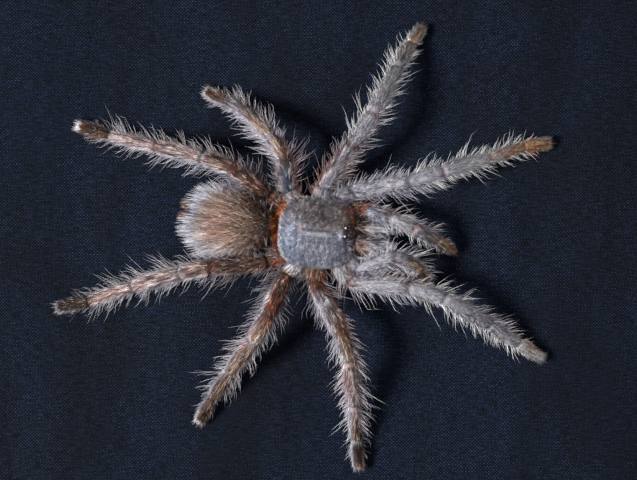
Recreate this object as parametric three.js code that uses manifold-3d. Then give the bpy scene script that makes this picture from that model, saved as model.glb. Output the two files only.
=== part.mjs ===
// A dried, spread tarantula fixed on a cloth-covered board in an open wooden box frame.
//
// Units are millimetres. The frame lies on its back: +Z points out of its front, +X runs along its
// long side towards the spider's head, and the origin is the centre of the plane of the frame's back.

import * as THREE from "three";
import Module from "manifold-3d";
import { mergeVertices } from "three/addons/utils/BufferGeometryUtils.js";

const wasm = await Module();
wasm.setup();

// ---- Frame sizes: a mitred box frame for a 240 x 180 board

const BOARD_LENGTH = 240;
const BOARD_WIDTH = 180;
const BOARD_PLAY = 0.5; // between the board's edge and the rabbet wall
const LIP = 6; // how far the rail reaches over the board
const RAIL_WIDTH = 16;
const RAIL_HEIGHT = 32; // deep enough to stand clear of the spider
const OUTER_ROUND = 4;
const INNER_BEVEL = 3;
const MITRE_GAP = 0.12;

const BACK_RECESS = 2.5; // from the plane of the frame's back to the hardboard
const PANEL_THICKNESS = 2.5;
const BOARD_THICKNESS = 3;
const CLOTH_THICKNESS = 0.5;
const BOARD_BOTTOM = BACK_RECESS + PANEL_THICKNESS;
const CLOTH_BOTTOM = BOARD_BOTTOM + BOARD_THICKNESS;
const CLOTH_TOP = CLOTH_BOTTOM + CLOTH_THICKNESS;

const SIGHT_HALF_LENGTH = BOARD_LENGTH / 2 + BOARD_PLAY - LIP;
const SIGHT_HALF_WIDTH = BOARD_WIDTH / 2 + BOARD_PLAY - LIP;

const FITTING_GAP = 0.1; // between the hardboard and the steel fittings under it
const TAB = { reach: 10, width: 7, thickness: 0.5, gap: 0.3 };
const HANGER = { length: 44, height: 9, thickness: 0.8, teeth: 11, toothDepth: 1.6, fromCentre: 64 };
const NAIL = { shank: 1, standoff: 1, headRadius: 1.8, head: 0.3, inset: 4 };

// ---- Spider sizes

const BODY_TURN = THREE.MathUtils.degToRad(-4.3); // the body's axis, from +X about +Z
const SEGMENT_SIDES = 10;
const LEG_GAP = 0.25; // each segment's end to the joint's centre, along the segment
const PALP_GAP = 0.45; // more, because the right palp is bent so sharply
const DOME = [[0, 0], [0.8, 0.3], [1, 0.8]]; // a rounded end: radius and depth, as shares of its radius
const BELLY = 0.45; // where a segment is thickest, as a share of its length
const WAIST = { narrowness: 0.85, reach: 0.5 }; // a joint inside one piece, as shares of its radius

// Heights in the spider's tables are above the cloth.
const CARAPACE = {
  centre: [3.4, 4.0, 9.8],
  halfLength: 10.2,
  halfWidth: 9.9,
  rise: 4.0,
  rim: 0.6,
  squareness: 2.9,
};
const EYE_MOUND = { forward: 8.4, radius: 1.9, narrowness: 0.8, flatness: 0.7, height: 4.2 };
const STERNUM = { centre: [3.2, 4.0, 6.3], halfLength: 8.2, halfWidth: 5.6, halfHeight: 2.7 };
const LEG_COXA_RADIUS = 1.95;
const PALP_COXA_RADIUS = 1.6;
const COXA_OVERLAP = 0.45; // how far a coxa runs on into the sternum, as a share of the way to its middle
const COXA_CLEARANCE = 0.12; // how far short of the trochanter it stops, as a share of its length
const ABDOMEN = {
  centre: [-19.75, 6.8, 8.8],
  halfLength: 11.25,
  halfWidth: 8.8,
  halfHeight: 7.6,
  taper: 0.16, // how much narrower the front end is
  squareness: 2.25,
};
const PEDICEL = { from: [-10.2, 5.4, 8.2], to: [-6.3, 5.0, 7.6], radius: 1.5 };
const CHELICERA = { radii: [2.1, 2.35, 1.9], deepness: 1.2 };
const CHELICERAE = {
  left: { from: [13.9, 6.4, 8.6], to: [24.4, 4.6, 6.4] },
  right: { from: [13.9, 1.2, 8.6], to: [23.4, -0.3, 6.4] },
};
const FANG = { length: 5.2, radii: [0.75, 0.52, 0.15], curl: 1.5, inset: 1, drop: 3.4 };
const SPINNERETS = {
  left: { from: [-30.6, 11.2, 6.4], to: [-32.5, 12.3, 6.1] },
  right: { from: [-31.25, 8.5, 6.2], to: [-33.3, 9.0, 5.8] },
};
const SPINNERET = [0.95, 0.85, 0.48];
const PAD = { centre: [3.2, 4.0], bottomRadius: 4.2, topRadius: 3.4, gap: 0.2 };

// A segment's radius at its near end, its thickest and its far end, as in FANG and SPINNERET.
const FEMUR = [1.85, 2.2, 2.0];
const PATELLA = [1.9, 2.1, 1.95];
const TIBIA = [1.85, 2.0, 1.65];
const METATARSUS = [1.55, 1.6, 1.4];
const TARSUS = [1.35, 1.5, 1.2];
const PALP_FEMUR = [1.5, 1.85, 1.3];
const PALP_TIBIA = [1.2, 1.85, 1.55];
const PALP_TARSUS = [1.35, 1.6, 0.85];

// Where each leg's joints lie, as [x, y, height]: the coxa's inner end, the trochanter, the knee, and the
// far ends of the patella, tibia, metatarsus and tarsus. Left is +Y, and pair 1 is the front one.
const LEGS = {
  left_1: [
    [9.2, 11.7, 6.6], [13.9, 15.8, 7.2], [29.4, 17.8, 14.5], [38.2, 20.6, 13.5],
    [51.5, 24.6, 8.0], [61.3, 27.9, 3.6], [68.7, 29.0, 1.9],
  ],
  left_2: [
    [4.5, 12.2, 6.6], [5.9, 16.6, 7.2], [14.0, 27.9, 16.0], [19.5, 36.1, 15.5],
    [26.3, 49.2, 8.5], [30.1, 56.2, 3.8], [33.2, 61.1, 1.9],
  ],
  left_3: [
    [-0.5, 11.7, 6.6], [-4.1, 15.5, 7.2], [-4.5, 24.0, 15.0], [-8.1, 29.8, 15.0],
    [-15.7, 37.9, 8.5], [-21.1, 40.4, 3.6], [-26.5, 43.3, 1.8],
  ],
  left_4: [
    [-4.1, 9.7, 6.6], [-9.4, 14.1, 7.2], [-18.7, 21.6, 16.2], [-26.7, 24.4, 14.9],
    [-39.7, 27.6, 9.0], [-53.2, 30.9, 3.4], [-62.3, 33.8, 1.7],
  ],
  right_1: [
    [9.2, -3.6, 6.6], [13.3, -9.7, 7.2], [29.4, -10.9, 14.5], [38.7, -13.7, 13.5],
    [51.5, -21.3, 8.0], [59.9, -26.7, 3.6], [66.7, -31.0, 1.9],
  ],
  right_2: [
    [4.5, -4.1, 6.6], [3.4, -9.7, 7.2], [10.8, -23.5, 14.5], [13.3, -31.2, 13.5],
    [14.4, -43.7, 7.5], [15.1, -53.5, 3.4], [15.9, -61.4, 1.8],
  ],
  right_3: [
    [-0.5, -4.1, 6.6], [-4.4, -7.7, 7.2], [-9.2, -18.5, 15.0], [-13.0, -25.7, 14.0],
    [-19.6, -34.0, 7.8], [-24.8, -41.8, 3.4], [-28.7, -48.6, 1.8],
  ],
  right_4: [
    [-4.1, -1.9, 6.6], [-9.6, -4.1, 7.2], [-24.8, -5.4, 14.0], [-33.1, -7.1, 12.8],
    [-46.4, -10.8, 7.5], [-59.0, -15.0, 3.2], [-68.1, -17.0, 1.7],
  ],
};

// The same for the palps: coxa, trochanter, then the far ends of the femur, patella, tibia and tarsus.
const PALPS = {
  left: [
    [12.0, 9.6, 6.4], [16.7, 10.6, 7.6], [24.5, 8.0, 12.0],
    [30.6, 5.5, 12.0], [36.9, 2.0, 7.5], [42.1, -1.1, 3.2],
  ],
  right: [
    [12.0, -1.4, 6.6], [15.5, -6.3, 7.6], [25.7, -2.5, 12.5],
    [31.7, -5.0, 11.5], [34.1, -9.7, 6.5], [35.2, -13.7, 2.4],
  ],
};

// ---- Finishes

const finish = (color, roughness, metalness = 0) =>
  new THREE.MeshStandardMaterial({ color, roughness, metalness });
const WOOD = finish(0x5b3a22, 0.5);
const CARD = finish(0xd8d2c4, 0.9);
const HARDBOARD = finish(0x6b4a30, 0.8);
const CLOTH = finish(0x141a2c, 0.95);
const STEEL = finish(0xa8a8a6, 0.35, 0.9);
const ADHESIVE = finish(0xcfc6b0, 0.7);
const LEG_CUTICLE = finish(0x9a8578, 0.75);
const CARAPACE_CUTICLE = finish(0x7b7f84, 0.7);
const ABDOMEN_SKIN = finish(0xa88668, 0.85);
const SPINNERET_SKIN = finish(0x8c4a25, 0.8);
const FANG_CHITIN = finish(0x1a0f0c, 0.25);

// ---- Shape helpers

const point = ([x, y, z]) => new THREE.Vector3(x, y, z);

function part(name, geometry, material) {
  const mesh = new THREE.Mesh(geometry, material);
  mesh.name = name;
  return mesh;
}

// Moves every vertex of a geometry by a function of its position.
function reshape(geometry, move) {
  const position = geometry.getAttribute("position");
  const vertex = new THREE.Vector3();
  for (let i = 0; i < position.count; i++) {
    move(vertex.fromBufferAttribute(position, i));
    position.setXYZ(i, vertex.x, vertex.y, vertex.z);
  }
  geometry.computeVertexNormals();
  return geometry;
}

// A solid of revolution about +Y, from a profile of [radius, y] pairs.
function turned(profile, sides) {
  return new THREE.LatheGeometry(profile.map(([radius, y]) => new THREE.Vector2(radius, y)), sides);
}

const nearDome = (radius) => DOME.map(([share, depth]) => [radius * share, radius * depth]);
const farDome = (radius, length) => nearDome(radius).map(([r, y]) => [r, length - y]).reverse();

// A rod with domed ends that stands on the origin. Its radii are near, thickest and far.
function domedRod(length, [near, thickest, far], sides = SEGMENT_SIDES) {
  return turned([...nearDome(near), [thickest, length * BELLY], ...farDome(far, length)], sides);
}

// Turns a rod that stands on +Y from the origin so that it runs from one point towards another.
function aim(geometry, from, to) {
  const along = to.clone().sub(from).normalize();
  const turn = new THREE.Quaternion().setFromUnitVectors(new THREE.Vector3(0, 1, 0), along);
  return geometry.applyQuaternion(turn).translate(from.x, from.y, from.z);
}

// Where a segment starts and ends between two joints, with a gap at each.
function gapped(from, to, gap) {
  const inset = to.clone().sub(from).setLength(gap);
  return [from.clone().add(inset), to.clone().sub(inset)];
}

// One straight limb segment between two joints.
function segment(from, to, radii, gap = LEG_GAP) {
  const [start, end] = gapped(from, to, gap);
  return aim(domedRod(start.distanceTo(end), radii), start, end);
}

// Two limb segments in one piece, with a narrow waist at the joint between them.
function jointedSegment(from, joint, to, nearRadii, farRadii, gap = LEG_GAP) {
  const [start, end] = gapped(from, to, gap);
  const along = end.clone().sub(start).normalize();
  const length = start.distanceTo(end);
  const waistAt = joint.clone().sub(start).dot(along);
  const [near, nearThick, nearEnd] = nearRadii;
  const [farStart, farThick, tip] = farRadii;
  const profile = [
    ...nearDome(near),
    [nearThick, waistAt / 2],
    [nearEnd, waistAt - nearEnd * WAIST.reach],
    [Math.min(nearEnd, farStart) * WAIST.narrowness, waistAt],
    [farStart, waistAt + farStart * WAIST.reach],
    [farThick, (waistAt + length) / 2],
    ...farDome(tip, length),
  ];
  const rod = aim(turned(profile, SEGMENT_SIDES), start, end);
  const bow = joint.clone().sub(start).addScaledVector(along, -waistAt);
  return reshape(rod, (vertex) => {
    const at = vertex.clone().sub(start).dot(along);
    const share = at < waistAt ? at / waistAt : (length - at) / (length - waistAt);
    vertex.addScaledVector(bow, share);
  });
}

// Pushes a unit sphere's outline, seen from above, outwards to a rounded square.
function square(vertex, squareness) {
  const spread = Math.hypot(vertex.x, vertex.y) || 1;
  const along = Math.abs(vertex.x / spread) ** squareness;
  const across = Math.abs(vertex.y / spread) ** squareness;
  const stretch = (along + across || 1) ** (-1 / squareness);
  vertex.x *= stretch;
  vertex.y *= stretch;
}

// Turns a unit sphere's vertices into a body whose long axis is +X, then sets it on the spider.
function bodyShape(centre, move, columns = 28, rows = 18) {
  return reshape(new THREE.SphereGeometry(1, columns, rows).rotateX(Math.PI / 2), move)
    .rotateZ(BODY_TURN)
    .translate(...centre);
}

function solidOf(geometry) {
  const bare = geometry.clone();
  bare.deleteAttribute("normal");
  bare.deleteAttribute("uv");
  const merged = mergeVertices(bare, 1e-4);
  const vertProperties = new Float32Array(merged.getAttribute("position").array);
  const triVerts = new Uint32Array(merged.index.array);
  return new wasm.Manifold(new wasm.Mesh({ numProp: 3, vertProperties, triVerts }));
}

function geometryOf(solid) {
  const { vertProperties, triVerts } = solid.getMesh();
  const geometry = new THREE.BufferGeometry();
  geometry.setAttribute("position", new THREE.BufferAttribute(new Float32Array(vertProperties), 3));
  geometry.setIndex(new THREE.BufferAttribute(new Uint32Array(triVerts), 1));
  geometry.computeVertexNormals();
  return geometry;
}

const joined = (geometries) =>
  geometryOf(geometries.map(solidOf).reduce((whole, next) => whole.add(next)));

// ---- The frame

// The rail's section: x runs outwards from the sight edge and y up from the frame's back.
function railSection() {
  const top = RAIL_HEIGHT;
  const section = new THREE.Shape();
  section.moveTo(0, CLOTH_TOP);
  section.lineTo(LIP, CLOTH_TOP);
  section.lineTo(LIP, 0);
  section.lineTo(RAIL_WIDTH, 0);
  section.lineTo(RAIL_WIDTH, top - OUTER_ROUND);
  section.absarc(RAIL_WIDTH - OUTER_ROUND, top - OUTER_ROUND, OUTER_ROUND, 0, Math.PI / 2);
  section.lineTo(INNER_BEVEL, top);
  section.lineTo(0, top - INNER_BEVEL);
  section.closePath();
  return section;
}

// A rail on the +Y side, mitred at both ends, for a sight opening of these half sizes.
function rail(name, halfLength, halfWidth, quarterTurns) {
  const bar = new THREE.ExtrudeGeometry(railSection(), {
    depth: 1,
    bevelEnabled: false,
    curveSegments: 8,
  });
  reshape(bar, (vertex) => {
    const { x: outwards, y: height, z: end } = vertex;
    const half = halfLength + outwards - MITRE_GAP / 2;
    vertex.set(end > 0.5 ? half : -half, halfWidth + outwards, height);
  });
  const mesh = part(name, bar, WOOD);
  mesh.rotation.z = (quarterTurns * Math.PI) / 2;
  return mesh;
}

function layer(name, bottom, thickness, material) {
  const mesh = part(name, new THREE.BoxGeometry(BOARD_LENGTH, BOARD_WIDTH, thickness), material);
  mesh.position.z = bottom + thickness / 2;
  return mesh;
}

// A steel tongue that reaches inwards from a rabbet wall, under the hardboard.
function retainingTab(name, wallDistance, quarterTurns) {
  const tongue = new THREE.Shape();
  tongue.moveTo(-TAB.width / 2, 0);
  tongue.lineTo(-TAB.width / 2, -TAB.reach + TAB.width / 2);
  tongue.absarc(0, -TAB.reach + TAB.width / 2, TAB.width / 2, Math.PI, 0);
  tongue.lineTo(TAB.width / 2, 0);
  tongue.closePath();
  const plate = new THREE.ExtrudeGeometry(tongue, {
    depth: TAB.thickness,
    bevelEnabled: false,
    curveSegments: 10,
  });
  plate.translate(0, wallDistance - TAB.gap, BACK_RECESS - FITTING_GAP - TAB.thickness);
  const mesh = part(name, plate, STEEL);
  mesh.rotation.z = (quarterTurns * Math.PI) / 2;
  return mesh;
}

// A nail that stands on +Z from its head, which is below z = 0.
function nail(length) {
  const { shank, head, headRadius } = NAIL;
  const profile = [
    [0, -head],
    [headRadius * 0.6, -head],
    [headRadius, 0],
    [shank, 0.05],
    [shank, length],
    [0, length],
  ];
  return turned(profile, 16).rotateX(Math.PI / 2);
}

// A toothed hanger held off the hardboard by two nails, so that a nail head in the wall fits behind it.
function sawtoothHanger() {
  const half = HANGER.length / 2;
  const pitch = (HANGER.length - 4 * NAIL.inset) / HANGER.teeth;
  const strip = new THREE.Shape();
  strip.moveTo(-half, 0);
  strip.lineTo(-pitch * (HANGER.teeth / 2), 0);
  for (let tooth = 0; tooth < HANGER.teeth; tooth++) {
    const left = pitch * (tooth - HANGER.teeth / 2);
    strip.lineTo(left + pitch / 2, HANGER.toothDepth);
    strip.lineTo(left + pitch, 0);
  }
  strip.lineTo(half, 0);
  strip.lineTo(half, HANGER.height);
  strip.lineTo(-half, HANGER.height);
  strip.closePath();
  const plate = new THREE.ExtrudeGeometry(strip, { depth: HANGER.thickness, bevelEnabled: false });
  const nails = [-1, 1].map((side) => {
    const x = side * (half - NAIL.inset);
    return nail(HANGER.thickness + NAIL.standoff).translate(x, HANGER.height / 2, 0);
  });
  const mesh = part("sawtooth_hanger", joined([plate, ...nails]), STEEL);
  const plateBottom = BACK_RECESS - FITTING_GAP - NAIL.standoff - HANGER.thickness;
  mesh.position.set(0, HANGER.fromCentre, plateBottom);
  return mesh;
}

function boxFrame() {
  const frame = new THREE.Group();
  const length = SIGHT_HALF_LENGTH;
  const width = SIGHT_HALF_WIDTH;
  frame.add(
    rail("frame_rail_top", length, width, 0),
    rail("frame_rail_left", width, length, 1),
    rail("frame_rail_bottom", length, width, 2),
    rail("frame_rail_right", width, length, 3),
    layer("back_panel", BACK_RECESS, PANEL_THICKNESS, HARDBOARD),
    layer("mount_board", BOARD_BOTTOM, BOARD_THICKNESS, CARD),
    layer("backing_cloth", CLOTH_BOTTOM, CLOTH_THICKNESS, CLOTH),
    retainingTab("retaining_tab_top", width + LIP, 0),
    retainingTab("retaining_tab_left", length + LIP, 1),
    retainingTab("retaining_tab_bottom", width + LIP, 2),
    retainingTab("retaining_tab_right", length + LIP, 3),
    sawtoothHanger(),
  );
  return frame;
}

// ---- The spider's body

// A domed shield with a squarish outline, a thin rim and the mound that carries the eyes.
function carapace() {
  const { centre, halfLength, halfWidth, rise, rim, squareness } = CARAPACE;
  const shield = bodyShape(centre, (vertex) => {
    square(vertex, squareness);
    vertex.x *= halfLength;
    vertex.y *= halfWidth;
    vertex.z *= vertex.z > 0 ? rise : rim;
  });
  const { forward, radius, narrowness, flatness, height } = EYE_MOUND;
  const mound = new THREE.SphereGeometry(radius, 14, 10)
    .scale(narrowness, 1, flatness)
    .translate(forward, 0, height - radius * flatness)
    .rotateZ(BODY_TURN)
    .translate(...centre);
  return part("carapace", joined([shield, mound]), CARAPACE_CUTICLE);
}

// The sternum with the ten coxae set round it.
function sternumAndCoxae() {
  const { centre, halfLength, halfWidth, halfHeight } = STERNUM;
  const plate = bodyShape(
    centre,
    (vertex) => vertex.set(vertex.x * halfLength, vertex.y * halfWidth, vertex.z * halfHeight),
    20,
    12,
  );
  const middle = point(centre);
  const coxa = (radius) => ([inner, trochanter]) => {
    const root = point(inner).lerp(middle, COXA_OVERLAP);
    const end = point(trochanter).lerp(point(inner), COXA_CLEARANCE);
    const radii = [radius * 0.8, radius, radius * 0.85];
    return aim(domedRod(root.distanceTo(end), radii, 8), root, end);
  };
  const legCoxae = Object.values(LEGS).map(coxa(LEG_COXA_RADIUS));
  const palpCoxae = Object.values(PALPS).map(coxa(PALP_COXA_RADIUS));
  const whole = joined([plate, ...legCoxae, ...palpCoxae]);
  return part("sternum_and_coxae", whole, LEG_CUTICLE);
}

// An egg with its narrow end forward, and the thin waist that joins it to the front body.
function abdomen() {
  const { centre, halfLength, halfWidth, halfHeight, taper, squareness } = ABDOMEN;
  const egg = bodyShape(centre, (vertex) => {
    square(vertex, squareness);
    const width = 1 - taper * vertex.x;
    vertex.y *= halfWidth * width;
    vertex.z *= halfHeight * (vertex.z > 0 ? width : 1);
    vertex.x *= halfLength;
  });
  const from = point(PEDICEL.from);
  const to = point(PEDICEL.to);
  const waist = aim(domedRod(from.distanceTo(to), Array(3).fill(PEDICEL.radius), 8), from, to);
  return part("abdomen", joined([egg, waist]), ABDOMEN_SKIN);
}

function chelicera(side, { from, to }) {
  const start = point(from);
  const end = point(to);
  const rod = domedRod(start.distanceTo(end), CHELICERA.radii, 14).scale(1, 1, CHELICERA.deepness);
  return part("chelicera_" + side, aim(rod, start, end), LEG_CUTICLE);
}

// A curved spike folded back under the front end of its chelicera.
function fang(side, { from, to }) {
  const spike = domedRod(FANG.length, FANG.radii, 8);
  reshape(spike, (vertex) => {
    vertex.z += FANG.curl * (vertex.y / FANG.length) ** 2;
  });
  const tip = point(to);
  const back = point(from).sub(tip).setZ(0).normalize();
  const root = tip.clone().addScaledVector(back, FANG.inset).setZ(tip.z - FANG.drop);
  const towards = root.clone().addScaledVector(back, FANG.length).setZ(root.z - FANG.curl);
  return part("fang_" + side, aim(spike, root, towards), FANG_CHITIN);
}

function spinneret(side, { from, to }) {
  const start = point(from);
  const end = point(to);
  const finger = domedRod(start.distanceTo(end), SPINNERET, 8);
  return part("spinneret_" + side, aim(finger, start, end), SPINNERET_SKIN);
}

// The dab of set adhesive between the sternum and the cloth.
function adhesivePad() {
  const height = STERNUM.centre[2] - STERNUM.halfHeight - PAD.gap;
  const pad = new THREE.CylinderGeometry(PAD.topRadius, PAD.bottomRadius, height, 20)
    .rotateX(Math.PI / 2)
    .translate(PAD.centre[0], PAD.centre[1], height / 2);
  return part("adhesive_pad", pad, ADHESIVE);
}

// ---- Limbs

function leg(name, joints) {
  const [, trochanter, knee, shin, ankle, instep, tip] = joints.map(point);
  return [
    part(`leg_${name}_femur`, segment(trochanter, knee, FEMUR), LEG_CUTICLE),
    part(`leg_${name}_patella`, segment(knee, shin, PATELLA), LEG_CUTICLE),
    part(`leg_${name}_tibia`, segment(shin, ankle, TIBIA), LEG_CUTICLE),
    part(`leg_${name}_foot`, jointedSegment(ankle, instep, tip, METATARSUS, TARSUS), LEG_CUTICLE),
  ];
}

function palp(side, joints) {
  const [, trochanter, knee, shin, wrist, tip] = joints.map(point);
  const femur = segment(trochanter, knee, PALP_FEMUR, PALP_GAP);
  const tibia = jointedSegment(knee, shin, wrist, PALP_TIBIA, PALP_TIBIA, PALP_GAP);
  const tarsus = segment(wrist, tip, PALP_TARSUS, PALP_GAP);
  return [
    part(`palp_${side}_femur`, femur, LEG_CUTICLE),
    part(`palp_${side}_tibia`, tibia, LEG_CUTICLE),
    part(`palp_${side}_tarsus`, tarsus, LEG_CUTICLE),
  ];
}

function spider() {
  const body = new THREE.Group();
  body.add(carapace(), sternumAndCoxae(), abdomen(), adhesivePad());
  for (const side of ["left", "right"]) {
    body.add(chelicera(side, CHELICERAE[side]));
    body.add(fang(side, CHELICERAE[side]));
    body.add(spinneret(side, SPINNERETS[side]));
    body.add(...palp(side, PALPS[side]));
  }
  for (const [name, joints] of Object.entries(LEGS)) body.add(...leg(name, joints));
  body.position.z = CLOTH_TOP;
  return body;
}

const framedTarantula = new THREE.Group();
framedTarantula.add(boxFrame(), spider());

export default framedTarantula;
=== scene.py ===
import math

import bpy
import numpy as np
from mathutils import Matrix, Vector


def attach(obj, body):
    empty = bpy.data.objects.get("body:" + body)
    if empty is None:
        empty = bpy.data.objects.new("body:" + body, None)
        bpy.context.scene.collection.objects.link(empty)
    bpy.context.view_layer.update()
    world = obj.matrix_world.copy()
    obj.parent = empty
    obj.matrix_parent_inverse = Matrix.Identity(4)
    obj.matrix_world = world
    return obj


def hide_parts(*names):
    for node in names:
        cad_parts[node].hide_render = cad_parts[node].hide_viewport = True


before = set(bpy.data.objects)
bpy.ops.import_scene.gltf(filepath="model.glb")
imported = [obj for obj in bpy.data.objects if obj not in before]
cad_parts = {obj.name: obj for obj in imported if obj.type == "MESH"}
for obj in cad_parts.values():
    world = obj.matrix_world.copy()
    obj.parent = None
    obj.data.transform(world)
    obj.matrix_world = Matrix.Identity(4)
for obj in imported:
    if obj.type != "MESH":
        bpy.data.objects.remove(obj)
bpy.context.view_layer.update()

# The looks of the framed tarantula: a skin and a coat of hair for each part of the spider, the woven
# cloth it lies on, and finishes for the frame. Places are in millimetres, in the frame's own axes,
# until a mesh is made from them.

MM = 0.001
CLOTH_TOP = 8.5
UP = np.array([0.0, 0.0, 1.0])
SIGHT_HALF = (114.5, 84.5)  # half of the frame's opening

# ---- Colours, as they look in daylight, 0 to 255

WHITE = (234, 233, 242)
PALE = (208, 206, 221)
LILAC = (186, 181, 200)
GREY = (150, 145, 156)
BLUE = (130, 140, 160)
SLATE = (112, 116, 130)
CREAM = (200, 186, 174)
PINK = (178, 150, 148)
PEACH = (190, 134, 106)
TAN = (150, 120, 102)
OCHRE = (160, 112, 76)
ORANGE = (196, 104, 48)
RUST = (142, 72, 40)
ROSE = (160, 84, 88)
BROWN = (100, 70, 56)
DARK = (66, 44, 36)
BLACK = (20, 17, 18)


def linear(colour, by=1.0):
    """A colour as linear light, times a brightness."""
    c = np.asarray(colour, float) / 255
    return np.where(c <= 0.04045, c / 12.92, ((c + 0.055) / 1.055) ** 2.4) * by


def shade(colour, by=1.0):
    """A colour for a shader's socket."""
    return (*linear(colour, by), 1.0)


# ---- The spider's limbs
# joints are [x, y, height above the cloth]: the coxa's inner end, which is joint -1, the trochanter, which
# is joint 0, and so on to the tip. gain is (joint number, brightness). A limb's colour runs along it through
# stops (joint number, colour), one list for its top and one for each side, as seen when looking along it
# to the tip. rings are (joint number, colour) at the joints.

FEMUR = [1.85, 2.2, 2.0]
PATELLA = [1.9, 2.1, 1.95]
TIBIA = [1.85, 2.0, 1.65]
METATARSUS = [1.55, 1.6, 1.4]
TARSUS = [1.35, 1.5, 1.2]
LEG_RADII = [[1.9, 2.05, 1.95], FEMUR, PATELLA, TIBIA, METATARSUS, TARSUS]
PALP_RADII = [[1.4, 1.55, 1.45], [1.45, 1.9, 1.75], [1.7, 1.85, 1.8], [1.75, 1.8, 1.55], [1.4, 1.4, 0.7]]

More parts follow.
